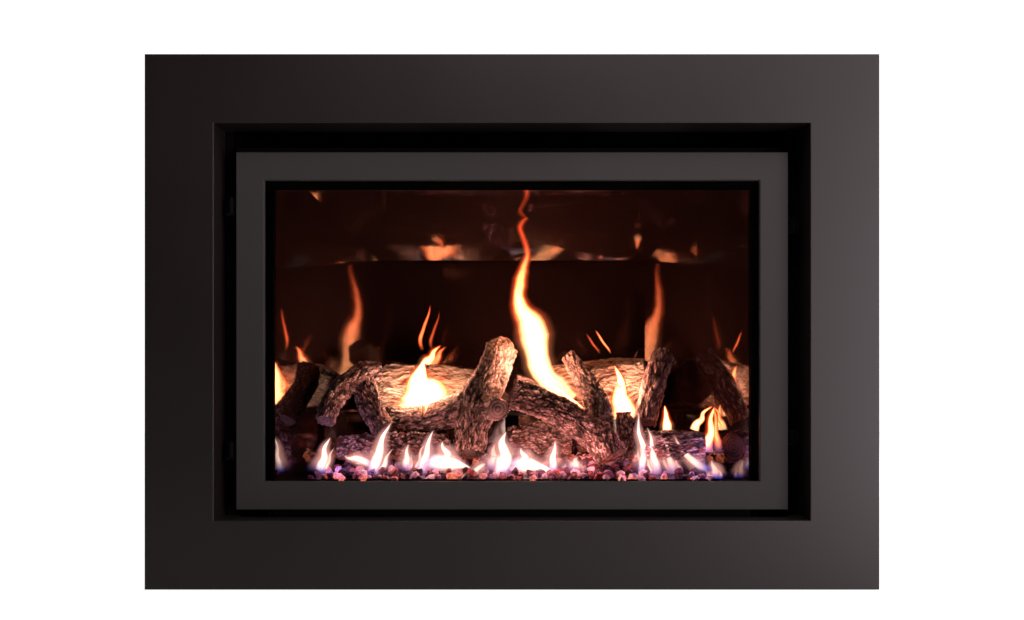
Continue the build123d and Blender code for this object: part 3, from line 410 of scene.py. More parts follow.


# ---- logs: how pale (partly the log's own colour, partly painted light: the logs the flames light most get the palest bark), how long its cracks run (m), and its limbs as (path of x, depth, height in mm; girth)
logs = {
    "log_chunk_left": (0.12, 0.012, [
        ([(-290, 188, 203), (-230, 182, 206), (-160, 186, 206), (-104, 192, 205)], 23),
    ]),
    "log_chunk_centre": (0.25, 0.016, [([(-8, 207, 210), (45, 212, 215), (100, 216, 212)], 29)]),
    "log_block": (0.05, 0.03, [([(214, 156, 208), (266, 152, 209), (316, 150, 207)], 27)]),
    "log_rear_left": (1.0, 0.06, [([(-262, 298, 296), (-215, 300, 297), (-140, 302, 299), (-56, 304, 295)], 41)]),
    "log_rear_right": (0.9, 0.05, [([(46, 304, 300), (124, 302, 303), (187, 300, 306), (238, 292, 315)], 46)]),
    "log_fork": (0.03, 0.016, [
        ([(-221, 244, 333), (-251, 236, 330), (-284, 204, 307), (-300, 172, 278), (-306, 150, 250)], 18),
        ([(-254, 240, 322), (-238, 208, 270), (-214, 182, 234)], 20),
    ]),
    "log_centre": (0.3, 0.022, [
        ([(-25, 272, 382), (-20, 262, 364), (-36, 228, 325), (-54, 205, 289), (-66, 182, 243),
          (-68, 160, 194)], 29),
        ([(-48, 212, 290), (-95, 212, 265), (-140, 222, 252), (-205, 238, 247)], 25),
        ([(-40, 196, 274), (-22, 136, 271)], 21),
    ]),
    "log_front": (0.08, 0.015, [
        ([(2, 190, 294), (34, 186, 284), (78, 178, 267), (108, 168, 246), (142, 156, 228), (164, 140, 190)], 27),
        ([(97, 264, 358), (122, 226, 318), (140, 190, 280), (148, 172, 250)], 19),
    ]),
    "log_upright": (0.04, 0.03, [([(259, 262, 362), (241, 230, 312), (222, 204, 246)], 21)]),
    "log_stump": (0.05, 0.012, [([(186, 200, 266), (188, 196, 226), (186, 190, 180)], 16)]),
}
bark = {  # metres
    "voxel": 0.0014,
    "smoothing": 15,
    "plateWidth": 0.0066,
    "furrow": 0.0066,
    "proud": 0.0018,
    "thinnest": 0.012,
    "grainLength": 0.008,
    "cutReach": 0.007,
    "cutDepth": 0.0022,
    "ringHeight": 0.0004,
    "ringPitch": 0.0058,
}


def squareOn(facing):  # 1 where a face looks within 37 degrees of the limb's line, 0 past 57
    return np.clip(facing * 4 - 2.2, 0, 1)


def limbCoordinates(points, normals, limbs):
    """length along the nearest limb, angle round it, distance from its line, and 1 on a cut end"""
    best = np.full(len(points), 1e9)
    along, angle, radial, cut = (np.zeros(len(points)) for _ in range(4))
    for limbIndex, (path, girth) in enumerate(limbs):
        spots = np.array([place(*spot) for spot in path])
        start = 0.37 * limbIndex
        for index in range(len(spots) - 1):
            a, b = spots[index], spots[index + 1]
            run = b - a
            length = np.linalg.norm(run)
            axis = run / length
            offset = points - a
            reach = offset @ axis
            held = np.clip(reach, 0, length)
            away = offset - np.outer(held, axis)
            flat = offset - np.outer(reach, axis)
            gap = np.linalg.norm(away, axis=1) - girth / 1000
            across = np.cross(axis, (0.31, 0.9, 0.17))
            across /= np.linalg.norm(across)
            other = np.cross(axis, across)
            ended = np.zeros(len(points))
            if index == 0:
                ended = np.maximum(ended, (reach < bark["cutReach"]) * squareOn(-(normals @ axis)))
            if index == len(spots) - 2:
                ended = np.maximum(ended, (reach > length - bark["cutReach"]) * squareOn(normals @ axis))
            near = gap < best
            best[near] = gap[near]
            along[near] = start + reach[near]
            angle[near] = np.arctan2(flat[near] @ other, flat[near] @ across)
            radial[near] = np.linalg.norm(flat[near], axis=1)
            cut[near] = ended[near]
            start += length
    return along, angle, radial, cut


def ridged(point):  # 1 on the lines where the noise crosses zero
    return 1.0 - min(1.0, abs(noise.noise(point)) * 2.2)


def plate(point, edge):  # 0 in the crack between two cells to 1 on the cell
    near = noise.voronoi(point)[0]
    t = min(1.0, (near[1] - near[0]) / edge)
    return t * t * (3 - 2 * t)


def barkRelief(along, angle, girth, length, seed):
    """0 deep in a furrow to 1 on a plate"""
    wobble = 0.4 * noise.noise(Vector((along * 30, angle * 1.3, seed)))
    u = girth / bark["plateWidth"]
    turnX, turnY = math.cos(angle + wobble) * u, math.sin(angle + wobble) * u
    step = along / length + seed
    step += 0.25 * noise.noise(Vector((turnX, turnY, step * 2)))
    big = plate(Vector((turnX * 0.55, turnY * 0.55, step * 0.5)), 0.24)
    small = plate(Vector((turnX * 1.3 + 9, turnY * 1.3, step * 1.1)), 0.34)
    crumbs = ridged(Vector((turnX * 2.6, turnY * 2.6, step * 2.6)))
    return 0.36 * big + 0.38 * small + 0.26 * (1 - crumbs)


def makeLog(node, seed):
    pale, length, limbs = logs[node]
    log = copyNode(node, node.replace("log_", "bark_"))
    remesh = log.modifiers.new("grid", "REMESH")
    remesh.mode = "VOXEL"
    remesh.voxel_size = bark["voxel"]
    soften = log.modifiers.new("round", "SMOOTH")
    soften.iterations = bark["smoothing"]
    bake(log)
    mesh = log.data
    points = readVectors(mesh.vertices, "co").astype(float)
    normals = readVectors(mesh.vertices, "normal")
    along, angle, radial, cut = limbCoordinates(points, normals, limbs)
    rings = 0.5 + 0.5 * np.sin(radial / bark["ringPitch"] * 2 * math.pi)
    thick = np.maximum(radial, bark["thinnest"])
    relief = np.array([barkRelief(along[index], angle[index], thick[index], length, seed)
                       for index in range(len(points))])
    barkPush = bark["proud"] - bark["furrow"] * (1 - relief)
    push = barkPush * (1 - cut) + (bark["ringHeight"] * rings - bark["cutDepth"]) * cut
    points += normals * push[:, None]
    mesh.vertices.foreach_set("co", points.astype(np.float32).ravel())
    for name, values in (("relief", relief), ("cut", cut), ("ring", rings), ("pale", np.full(len(points), pale))):
        setValues(mesh, name, values)
    layer = mesh.attributes.new("grain", "FLOAT_VECTOR", "POINT")
    spun = np.stack([np.cos(angle) * thick, np.sin(angle) * thick, along * bark["grainLength"] / length], axis=1)
    layer.data.foreach_set("vector", spun.astype(np.float32).ravel())
    mesh.update()
    mesh.shade_smooth()
    mesh.materials.append(logBark)
    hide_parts(node)
    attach(log, "insert")


def makeLogBark():  # painted ceramic: darkest in the furrows, brown on the plates, palest on the crests, glowing cracks low down
    material, tree, shader = newMaterial("logBark")
    coords, grain = objectPlace(tree), readValue(tree, "grain", "Vector")
    relief, cut, pale = readValue(tree, "relief"), readValue(tree, "cut"), readValue(tree, "pale")
    mottle = noiseNode(tree, coords, 38.0, 5.0, 0.65)
    grit = noiseNode(tree, coords, 520.0, 3.0, 0.6)
    fibre = noiseNode(tree, grain, 330.0, 6.0, 0.72)
    splinter = mathNode(tree, "ABSOLUTE", mathNode(tree, "SUBTRACT", fibre, 0.5))
    split = mathNode(tree, "MULTIPLY", splinter, 5.0, clamp=True)
    scales = tree.nodes.new("ShaderNodeTexVoronoi")
    scales.feature = "DISTANCE_TO_EDGE"
    scales.inputs["Scale"].default_value = 210.0
    tree.links.new(grain, scales.inputs["Vector"])
    flake = mathNode(tree, "MULTIPLY", scales.outputs["Distance"], 6.0, clamp=True)
    level = weighted(tree, (relief, 0.5), (split, 0.22), (flake, 0.14), (mottle, 0.24))
    # the mix by pale is partly painted light: the paler, lit ramp goes on the logs nearest the flames, the darker,
    # shaded one on the rest
    darkAndShadedSkin = ramp(tree, level, [(0.30, (0.006, 0.0022, 0.002)), (0.48, (0.06, 0.023, 0.019)),
                               (0.64, (0.28, 0.125, 0.105)), (0.88, (0.92, 0.66, 0.60))])
    paleAndLitSkin = ramp(tree, level, [(0.26, (0.03, 0.010, 0.006)), (0.42, (0.17, 0.075, 0.048)),
                               (0.57, (0.44, 0.28, 0.20)), (0.84, (0.74, 0.58, 0.48))])
    skin = mixColour(tree, pale, darkAndShadedSkin, paleAndLitSkin)
    sawn = weighted(tree, (mottle, 0.9), (readValue(tree, "ring"), 0.16))
    wood = ramp(tree, sawn, [(0.38, (0.02, 0.009, 0.007)), (0.7, (0.30, 0.17, 0.14))])
    tree.links.new(mixColour(tree, cut, skin, wood), shader.inputs["Base Color"])
    shader.inputs["Roughness"].default_value = 0.86
    addBump(tree, shader, weighted(tree, (split, 1.2), (grit, 0.4), (flake, 0.8)), 0.9, 0.0018)
    low = mapRange(tree, coordinate(tree, "Z"), {"From Min": hearthZ + 0.04, "From Max": hearthZ - 0.004})
    crack = mathNode(tree, "POWER", mathNode(tree, "SUBTRACT", 1.0, relief, clamp=True), 2.0)
    patch = mathNode(tree, "GREATER_THAN", noiseNode(tree, coords, 22.0, 2.0), 0.52)
    glow = mathNode(tree, "MULTIPLY", mathNode(tree, "MULTIPLY", low, crack), patch)
    alight = ramp(tree, glow, [(0.05, (0.0, 0.0, 0.0)), (0.35, (0.30, 0.03, 0.015)), (0.9, (1.0, 0.22, 0.06))])
    tree.links.new(alight, shader.inputs["Emission Color"])
    shader.inputs["Emission Strength"].default_value = 1.0
    return material


logBark = makeLogBark()
for order, node in enumerate(logs):
    makeLog(node, 3.1 * order + 1.7)
print("logs barked")


# ---- point trees: one shape set on many points
def newPointTree(name, inputs):  # inputs: label to (kind, value)
    tree = bpy.data.node_groups.new(name, "GeometryNodeTree")
    tree.interface.new_socket("Geometry", in_out="INPUT", socket_type="NodeSocketGeometry")
    for label, (kind, value) in inputs.items():
        tree.interface.new_socket(label, in_out="INPUT", socket_type=kind).default_value = value
    tree.interface.new_socket("Geometry", in_out="OUTPUT", socket_type="NodeSocketGeometry")
    return tree, tree.nodes.new("NodeGroupInput"), tree.nodes.new("NodeGroupOutput")


def setShape(tree, points, shape, turn, scale):
    source = tree.nodes.new("GeometryNodeObjectInfo")
    source.inputs["Object"].default_value = shape
    source.transform_space = "ORIGINAL"
    sow = tree.nodes.new("GeometryNodeInstanceOnPoints")
    tree.links.new(points, sow.inputs["Points"])
    tree.links.new(source.outputs["Geometry"], sow.inputs["Instance"])
    tree.links.new(turn, sow.inputs["Rotation"])
    tree.links.new(scale, sow.inputs["Scale"])
    return sow.outputs[0]


def endTree(tree, source, out, material):
    real = tree.nodes.new("GeometryNodeRealizeInstances")
    tree.links.new(source, real.inputs[0])
    coat = tree.nodes.new("GeometryNodeSetMaterial")
    coat.inputs["Material"].default_value = material
    tree.links.new(real.outputs[0], coat.inputs["Geometry"])
    tree.links.new(coat.outputs[0], out.inputs[0])


def applyTree(thing, tree, values):
    modifier = thing.modifiers.new("nodes", "NODES")
    modifier.node_group = tree
    for item in tree.interface.items_tree:
        if item.item_type == "SOCKET" and item.in_out == "INPUT" and item.name in values:
            modifier[item.identifier] = values[item.name]
    return bake(thing)


# ---- loose ember and fire-glass pieces over the burner: spacing and stone in m
embers = {
    "spacing": 0.0132,
    "stone": 0.0116,
    "seed": 4,
    "density": 12000,
    "smallest": (0.65, 0.6, 0.5),
    "largest": (1.25, 1.1, 0.95),
}


def makeEmberTree(stone, material):
    tree, given, out = newPointTree("emberScatter", {
        "Spacing": ("NodeSocketFloat", 0.01), "Size": ("NodeSocketFloat", 0.008), "Seed": ("NodeSocketInt", 1)})
    make, link = tree.nodes.new, tree.links.new
    scatter = make("GeometryNodeDistributePointsOnFaces")
    scatter.distribute_method = "POISSON"
    scatter.inputs["Density Max"].default_value = embers["density"]
    link(given.outputs["Geometry"], scatter.inputs["Mesh"])
    link(given.outputs["Spacing"], scatter.inputs["Distance Min"])
    link(given.outputs["Seed"], scatter.inputs["Seed"])
    spin, grow, tint = (make("FunctionNodeRandomValue") for _ in range(3))
    spin.data_type = grow.data_type = "FLOAT_VECTOR"
    tint.data_type = "FLOAT"
    spin.inputs["Max"].default_value = (6.28, 6.28, 6.28)
    grow.inputs["Min"].default_value = embers["smallest"]
    grow.inputs["Max"].default_value = embers["largest"]
    scale = make("ShaderNodeVectorMath")
    scale.operation = "SCALE"
    link(grow.outputs[0], scale.inputs[0])
    link(given.outputs["Size"], scale.inputs["Scale"])
    stones = setShape(tree, scatter.outputs["Points"], stone, spin.outputs[0], scale.outputs[0])
    tag = make("GeometryNodeStoreNamedAttribute")
    tag.data_type = "FLOAT"
    tag.domain = "INSTANCE"
    tag.inputs["Name"].default_value = "tint"
    link(stones, tag.inputs["Geometry"])
    link(tint.outputs[1], tag.inputs["Value"])
    endTree(tree, tag.outputs[0], out, material)
    return tree


def makeEmberMaterial():  # dark cinders, red-brown embers, pale and violet glass, a few alight
    material, tree, shader = newMaterial("emberGlass")
    coords, tint = objectPlace(tree), readValue(tree, "tint")
    body = ramp(tree, tint, [(0.0, (0.02, 0.010, 0.018)), (0.22, (0.10, 0.035, 0.06)), (0.42, (0.30, 0.06, 0.055)),
                             (0.6, (0.26, 0.13, 0.24)), (0.78, (0.75, 0.50, 0.56)), (0.9, (0.30, 0.20, 0.42)),
                             (1.0, (0.08, 0.06, 0.24))])
    mottle = noiseNode(tree, coords, 300.0, 3.0)
    soot = mathNode(tree, "MULTIPLY", mottle, 0.5)
    tree.links.new(mixColour(tree, soot, body, (0.02, 0.012, 0.016)), shader.inputs["Base Color"])
    roughen(tree, shader, mottle, 0.06, 0.4)
    hot = mathNode(tree, "GREATER_THAN", mathNode(tree, "MULTIPLY", tint, noiseNode(tree, coords, 14.0, 2.0)), 0.41)
    glow = mathNode(tree, "MULTIPLY", hot, mathNode(tree, "POWER", mottle, 3.0))
    tree.links.new(mixColour(tree, glow, (0.0, 0.0, 0.0), (1.0, 0.20, 0.08)), shader.inputs["Emission Color"])
    shader.inputs["Emission Strength"].default_value = 5.0
    addBump(tree, shader, mottle, 0.4, 0.001)
    return material


def makeStone():
    work = bmesh.new()
    bmesh.ops.create_icosphere(work, subdivisions=1, radius=1.0)
    rng = random.Random(7)
    for corner in work.verts:
        corner.co *= 0.72 + 0.4 * rng.random()
    mesh = bpy.data.meshes.new("stone")
    work.to_mesh(mesh)
    work.free()
    return newObject("stoneShape", mesh)


def makeEmbers():
    bed = copyNode("ember_media", "embers")
    work = bmesh.new()
    work.from_mesh(bed.data)
    flat = [face for face in work.faces if face.normal.z < 0.5]
    bmesh.ops.delete(work, geom=flat, context="FACES")
    work.to_mesh(bed.data)
    work.free()
    for corner in bed.data.vertices:
        corner.co.z -= embers["stone"] * 0.55
    stone = makeStone()
    tree = makeEmberTree(stone, emberGlass)
    applyTree(bed, tree, {"Spacing": embers["spacing"], "Size": embers["stone"], "Seed": embers["seed"]})
    bpy.data.objects.remove(stone)
    base = copyNode("ember_media", "emberBase")
    for corner in base.data.vertices:
        if corner.co.z > hearthZ - 0.03:
            corner.co.z -= embers["stone"] * 0.8
    base.data.materials.append(emberGlass)
    setValues(base.data, "tint", np.full(len(base.data.vertices), 0.05))
    for piece in (bed, base):
        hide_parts("ember_media")
        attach(piece, "insert")


emberGlass = makeEmberMaterial()
makeEmbers()
print("embers scattered")


# ---- flames
def makeFlameMaterial(name, hues, strength):
    material, tree, shader = newMaterial(name)
    core, rise, warmth = readValue(tree, "core"), readValue(tree, "rise"), readValue(tree, "warmth")
    flicker = noiseNode(tree, objectPlace(tree), 60.0, 2.0)
    level = mathNode(tree, "MULTIPLY", mathNode(tree, "POWER", core, 1.1), warmth)
    uneven = mathNode(tree, "ADD", mathNode(tree, "MULTIPLY", flicker, 0.5), 0.75)
    level = mathNode(tree, "MULTIPLY", level, uneven, clamp=True)
    power = mathNode(tree, "MULTIPLY", mathNode(tree, "POWER", level, 1.6), strength)
    fire = tree.nodes.new("ShaderNodeVectorMath")
    fire.operation = "SCALE"
    tree.links.new(ramp(tree, level, hues), fire.inputs[0])
    tree.links.new(mathNode(tree, "ADD", power, 0.7), fire.inputs["Scale"])
    high = mapRange(tree, rise, {"From Max": 0.45}, smooth=True)
    colour = mixColour(tree, high, readValue(tree, "foot", "Color"), fire.outputs[0])
    tree.links.new(colour, shader.inputs["Emission Color"])
    shader.inputs["Emission Strength"].default_value = 1.0
    shader.inputs["Base Color"].default_value = (0, 0, 0, 1)
    shader.inputs["Specular IOR Level"].default_value = 0.0
    middle = mapRange(tree, core, {"From Max": 0.95}, smooth=True)
    tree.links.new(mathNode(tree, "MULTIPLY", middle, readValue(tree, "body")), shader.inputs["Alpha"])
    return material


def smoothLine(points, count):  # a smooth line through a few given points
    points = [np.array(point, float) for point in points]
    padded = [2 * points[0] - points[1]] + points + [2 * points[-1] - points[-2]]
    line = []
    for step in range(count):
        position = step / (count - 1) * (len(points) - 1)
        index = min(int(position), len(points) - 2)
        t = position - index
        a, b, c, d = padded[index:index + 4]
        line.append(0.5 * (2 * b + (c - a) * t + (2 * a - 5 * b + 4 * c - d) * t * t
                           + (3 * b - 3 * c + d - a) * t ** 3))
    return line


# rings along and points round each blade, its thinness, the raggedness of its edge, its sway in mm
flameShape = {"rings": 40, "sides": 16, "thin": 0.1, "ragged": 0.2, "sway": 1.6, "coolest": 0.12}


def flameMesh(flames):
    """each flame is two thin crossed blades, bright along the middle and clear at the edges"""
    vertices, faces, footColours = [], [], []
    values = {"core": [], "rise": [], "warmth": [], "body": []}
    sides = flameShape["sides"]
    for order, (points, heatFoot, heatTip, footColour, body) in enumerate(flames):
        line = smoothLine(points, flameShape["rings"])
        count = len(line)
        for broad, thin in ((1.0, flameShape["thin"]), (flameShape["thin"], 1.0)):
            base = len(vertices)
            for index, (x, depth, z, width) in enumerate(line):
                ahead, behind = line[min(index + 1, count - 1)], line[max(index - 1, 0)]
                lean = math.atan2(ahead[0] - behind[0], abs(ahead[2] - behind[2]) + 1e-6)
                rise = index / (count - 1)
                swell = noise.noise(Vector((order * 7.3, z * 0.07, 0.5)))
                x += flameShape["sway"] * noise.noise(Vector((order * 3.1, 2.5, z * 0.06))) * min(1.0, rise * 3)
                girth = max(width * (1 + flameShape["ragged"] * swell), 0.3)
                warmth = max(flameShape["coolest"], heatFoot + (heatTip - heatFoot) * rise ** 1.3)
                density = body * (0.25 + 0.75 * min(1.0, rise / 0.3)) * min(1.0, (1 - rise) / 0.25)
                for side in range(sides):
                    turn = 2 * math.pi * side / sides
                    out = girth * broad * math.cos(turn)
                    deep = girth * thin * math.sin(turn)
                    vertices.append(place(x + out * math.cos(lean), depth + deep, z - out * math.sin(lean)))
                    edge = math.sin(turn) if broad > thin else math.cos(turn)
                    values["core"].append(edge * edge)
                    values["rise"].append(rise)
                    values["warmth"].append(warmth)
                    values["body"].append(density)
                    footColours.append((*footColour, 1.0))
            for ring in range(count - 1):
                for side in range(sides):
                    a = base + ring * sides + side
                    b = base + ring * sides + (side + 1) % sides
                    faces.append((a, b, b + sides, a + sides))
            faces.append(tuple(base + side for side in reversed(range(sides))))
            faces.append(tuple(base + (count - 1) * sides + side for side in range(sides)))
    mesh = bpy.data.meshes.new("flames")
    mesh.from_pydata([tuple(vertex) for vertex in vertices], [], faces)
    for name, numbers in values.items():
        setValues(mesh, name, numbers)
    layer = mesh.attributes.new("foot", "FLOAT_COLOR", "POINT")
    layer.data.foreach_set("color", np.array(footColours, np.float32).ravel())
    mesh.shade_smooth()
    return mesh


orangeFoot = (8.0, 3.2, 1.3)
blueFoot = (0.05, 0.05, 0.60)
violetFoot = (0.85, 0.34, 0.80)


def tongue(x, depth, z, height, width, lean, curl=0.0):
    """a small flame: a belly near its foot and a tip drawn over to one side"""
    return [
        (x, depth, z - 5, width * 1.1),
        (x + lean * 0.12, depth, z + height * 0.15, width),
        (x + lean * 0.3 + curl, depth, z + height * 0.38, width * 0.78),
        (x + lean * 0.62 - curl, depth, z + height * 0.7, width * 0.42),
        (x + lean, depth, z + height, 0.6),
    ]


def across(points, depth):
    """a flame from picture-plane points of (x, z, half width)"""
    return [(x, depth, z, width) for x, z, width in points]


# each flame: its line, heat at the foot and the tip, colour of the foot, density
mainFlame = [
    (96, 240, 278, 26), (74, 238, 302, 23), (50, 238, 334, 20), (42, 238, 366, 21), (38, 238, 394, 25),
    (30, 238, 416, 23.5), (17, 238, 436, 15), (11, 240, 460, 11.5), (14, 242, 486, 9.5), (19, 244, 507, 7),
    (26, 246, 525, 4.2), (25, 248, 544, 3), (18, 250, 561, 3.6), (14, 252, 578, 4.4), (23, 254, 592, 3.6),
    (38, 256, 603, 0.8),
]
backLeftFlame = [
    (-150, 236, 256, 34), (-148, 236, 276, 52), (-152, 236, 298, 42), (-158, 237, 316, 23), (-155, 238, 334, 10),
    (-150, 238, 350, 1),
]
bigFlames = [
    (mainFlame, 1.3, -0.4, orangeFoot, 1.0),
    (across([(52, 322, 4), (70, 306, 12), (94, 290, 15), (112, 276, 9), (122, 268, 2)], 236),
     1.1, 0.8, orangeFoot, 0.85),
    (backLeftFlame, 1.3, 1.1, orangeFoot, 0.95),
    (tongue(-152, 306, 342, 34, 10, 28, 2), 0.8, 0.55, orangeFoot, 0.9),
    (tongue(194, 250, 256, 86, 20, -20, -4), 1.25, 0.85, orangeFoot, 1.0),
    (tongue(262, 222, 236, 38, 8, -4), 1.1, 0.8, orangeFoot, 1.0),
    (tongue(322, 176, 204, 74, 9, 16, 3), 0.8, 0.7, violetFoot, 0.85),
    (tongue(302, 180, 240, 34, 7, 30, 3), 0.8, 0.7, orangeFoot, 0.8),
    (across([(-154, 368, 3), (-158, 384, 4.5), (-152, 404, 3.6), (-143, 430, 2), (-140, 446, 0.4)], 262),
     0.42, 0.22, (0.5, 0.08, 0.02), 0.6),
    (across([(170, 362, 1), (164, 372, 2), (152, 388, 1.8), (144, 402, 0.4)], 262),
     0.5, 0.4, (0.7, 0.2, 0.05), 0.7),
]
lowFlames = [
    (tongue(-312, 132, 172, 54, 9, 18, 2), 1.0, 0.9, blueFoot, 0.95),
    (tongue(-226, 130, 170, 80, 11, 30, 2), 1.1, 0.95, violetFoot, 1.0),
    (across([(-222, 178, 3), (-236, 186, 8), (-252, 192, 6.5), (-264, 192, 3), (-272, 196, 0.6)], 131),
     0.9, 0.6, violetFoot, 0.8),
    (tongue(-172, 140, 176, 40, 9, 3, 1), 0.8, 0.6, violetFoot, 0.7),
    (tongue(-146, 136, 172, 66, 9, 20, 2), 1.05, 0.85, violetFoot, 0.95),
    (across([(-146, 180, 6), (-124, 186, 14), (-102, 184, 13), (-84, 182, 8), (-66, 176, 1)], 134),
     1.1, 0.8, violetFoot, 1.0),
    (tongue(-106, 135, 186, 34, 10, -6, 3), 1.0, 0.8, orangeFoot, 0.85),
    (across([(-66, 162, 3), (-60, 172, 5), (-50, 180, 5), (-42, 184, 2)], 124), 0.8, 0.5, violetFoot, 0.7),
    (tongue(-16, 130, 170, 66, 17, 6, 4), 1.2, 0.9, violetFoot, 1.0),
    (tongue(-34, 134, 178, 40, 10, 8, 2), 0.7, 0.5, violetFoot, 0.6),
    (across([(-8, 178, 10), (14, 182, 16), (34, 182, 13), (54, 176, 8), (66, 172, 2)], 130),
     1.15, 0.9, violetFoot, 1.0),
    (tongue(20, 128, 184, 26, 10, -6, 2), 0.9, 0.7, violetFoot, 0.8),
    (tongue(66, 132, 174, 48, 9, 4, -1), 1.0, 0.75, violetFoot, 0.9),
    (tongue(100, 140, 176, 18, 13, 8, 1), 0.8, 0.5, violetFoot, 0.55),
    (tongue(212, 134, 170, 96, 8, -6, 3), 1.0, 0.85, blueFoot, 0.85),
    (tongue(236, 132, 170, 72, 9, -18, -2), 0.9, 0.7, violetFoot, 0.8),
    (tongue(262, 130, 172, 54, 9, -20, -2), 0.65, 0.5, violetFoot, 0.6),
    (across([(322, 172, 7), (302, 182, 9), (284, 196, 6), (270, 212, 3.4), (262, 230, 0.6)], 128),
     0.75, 0.5, blueFoot, 0.75),
    (tongue(330, 126, 164, 26, 9, -8, 1), 0.6, 0.4, blueFoot, 0.75),
]


def withStrands(flames, seed):  # thinner, shorter flames licking round each one
    rng = random.Random(seed)
    strands = []
    for points, heatFoot, heatTip, footColour, body in flames:
        strands.append((points, heatFoot * 0.9, heatTip * 0.85, footColour, body * 0.85))
        x0, _, z0, width0 = points[0]
        for shrink in (rng.uniform(0.5, 0.85), rng.uniform(0.35, 0.6)):
            shift, back = rng.uniform(-1.2, 1.2) * width0, rng.uniform(2, 8)
            line = [(x0 + shift + (x - x0) * (shrink + 0.2), depth + back, z0 + (z - z0) * shrink, width * 0.55)
                    for x, depth, z, width in points]
            strands.append((line, heatFoot * 0.75, heatTip * 0.6, footColour, body * 0.55))
    return strands


def halo(flame, spread, body):  # the soft light round a flame
    points, heatFoot, heatTip, footColour, full = flame
    wide = [(x, depth + 3, z, width * spread + 3) for x, depth, z, width in points]
    return (wide, 0.45, 0.25, tuple(0.25 * value for value in footColour), body * full)


tallHues = [(0.0, (0.70, 0.04, 0.012)), (0.3, (1.0, 0.11, 0.028)), (0.6, (1.0, 0.18, 0.055)),
            (1.0, (1.0, 0.24, 0.09))]
lowHues = [(0.0, (0.45, 0.16, 0.30)), (0.25, (1.0, 0.42, 0.34)), (0.6, (1.0, 0.62, 0.50)),
           (1.0, (1.0, 0.76, 0.66))]
tallFire = makeFlameMaterial("tallFire", tallHues, 28.0)
lowFire = makeFlameMaterial("lowFire", lowHues, 4.6)
fires = {
    "flames_big": (bigFlames, tallFire),
    "flames_low": (withStrands(lowFlames, 5), lowFire),
    "flames_halo": ([halo(flame, 1.4, 0.10) for flame in bigFlames[:7]], tallFire),
    "flames_glow": ([halo(flame, 2.2, 0.32) for flame in lowFlames], lowFire),
}
for name, (group, fireMaterial) in fires.items():
    fire = newObject(name, flameMesh(group))
    fire.data.materials.append(fireMaterial)
    fire.visible_shadow = False
    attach(fire, "insert")
print("flames lit")


# ---- screws: each body's heads in one piece; sizes and places in m
screw = {
    "radius": 0.0042,
    "height": 0.0024,
    "profile": ((1.0, 0.0), (0.96, 0.5), (0.7, 0.92), (0.42, 1.0), (0.3, 0.45)),
    "sides": 16,
    "caseSetback": 0.130,
    "caseHeights": (0.14, 0.30, 0.46, 0.62),
    "topInset": 0.012,
    "topPlaces": (-0.24, -0.08, 0.08, 0.24),
    "collarInset": 0.006,
    "collarHeight": 0.7235,
    "doorInset": 0.014,
    "doorEnd": 0.06,
}


def makeScrewHead():
    work = bmesh.new()
    sides = screw["sides"]
    turns = [2 * math.pi * k / sides for k in range(sides)]
    loops = []
    for wide, tall in screw["profile"]:
        radius, z = screw["radius"] * wide, screw["height"] * tall
        loops.append([work.verts.new((radius * math.cos(turn), radius * math.sin(turn), z)) for turn in turns])
    for low, high in zip(loops, loops[1:]):
        for k in range(sides):
            work.faces.new((low[k], low[(k + 1) % sides], high[(k + 1) % sides], high[k]))
    work.faces.new(list(reversed(loops[0])))
    work.faces.new(loops[-1])
    mesh = bpy.data.meshes.new("screwHead")
    work.to_mesh(mesh)
    work.free()
    return newObject("screwHeadShape", mesh)


def makeScrewTree(head, material):
    tree, given, out = newPointTree("screwRow", {"Size": ("NodeSocketFloat", 1.0)})
    facing = tree.nodes.new("GeometryNodeInputNamedAttribute")
    facing.data_type = "FLOAT_VECTOR"
    facing.inputs["Name"].default_value = "facing"
    align = tree.nodes.new("FunctionNodeAlignRotationToVector")
    align.axis = "Z"
    tree.links.new(facing.outputs[0], align.inputs["Vector"])
    heads = setShape(tree, given.outputs["Geometry"], head, align.outputs[0], given.outputs["Size"])
    endTree(tree, heads, out, material)
    return tree


def screwPoints(name, spots):
    mesh = bpy.data.meshes.new(name)
    mesh.from_pydata([tuple(spot) for spot, facing in spots], [], [])
    layer = mesh.attributes.new("facing", "FLOAT_VECTOR", "POINT")
    layer.data.foreach_set("vector", np.array([facing for spot, facing in spots], np.float32).ravel())
    return newObject(name, mesh)


rootScrews = []
for side in (-1, 1):
    rootScrews.append((place(side * 454, 58, 198), (-side, 0, 0)))  # through the surround's return
    for z in screw["caseHeights"]:
        rootScrews.append((Vector((side * wrapHigh.x, frontY + screw["caseSetback"], z)), (side, 0, 0)))
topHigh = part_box("casing_top")[1]
for x in screw["topPlaces"]:
    rootScrews.append((Vector((x, wrapHigh.y - screw["topInset"], topHigh.z)), (0, 0, 1)))
for collar in ("exhaust_collar", "intake_collar"):
    low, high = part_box(collar)
    centre = (low + high) / 2
    reach = (high.x - low.x) / 2 - screw["collarInset"]
    for quarter in range(4):
        turn = math.pi / 4 + quarter * math.pi / 2
        x, y = centre.x + reach * math.cos(turn), centre.y + reach * math.sin(turn)
        rootScrews.append((Vector((x, y, screw["collarHeight"])), (0, 0, 1)))
retainerLow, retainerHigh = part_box("glass_retainer")
doorScrews = []
for x in (retainerLow.x + screw["doorInset"], retainerHigh.x - screw["doorInset"]):
    for step in range(4):
        z = retainerLow.z + screw["doorEnd"] + step * (retainerHigh.z - retainerLow.z - 2 * screw["doorEnd"]) / 3
        doorScrews.append((Vector((x, retainerHigh.y, z)), (0, 1, 0)))
head = makeScrewHead()
screwTree = makeScrewTree(head, screwSteel)
for name, body, spots in (("screws_insert", "insert", rootScrews), ("screws_door", "door", doorScrews)):
    row = screwPoints(name, spots)
    applyTree(row, screwTree, {"Size": 1.0})
    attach(row, body)
bpy.data.objects.remove(head)
print("screws set")


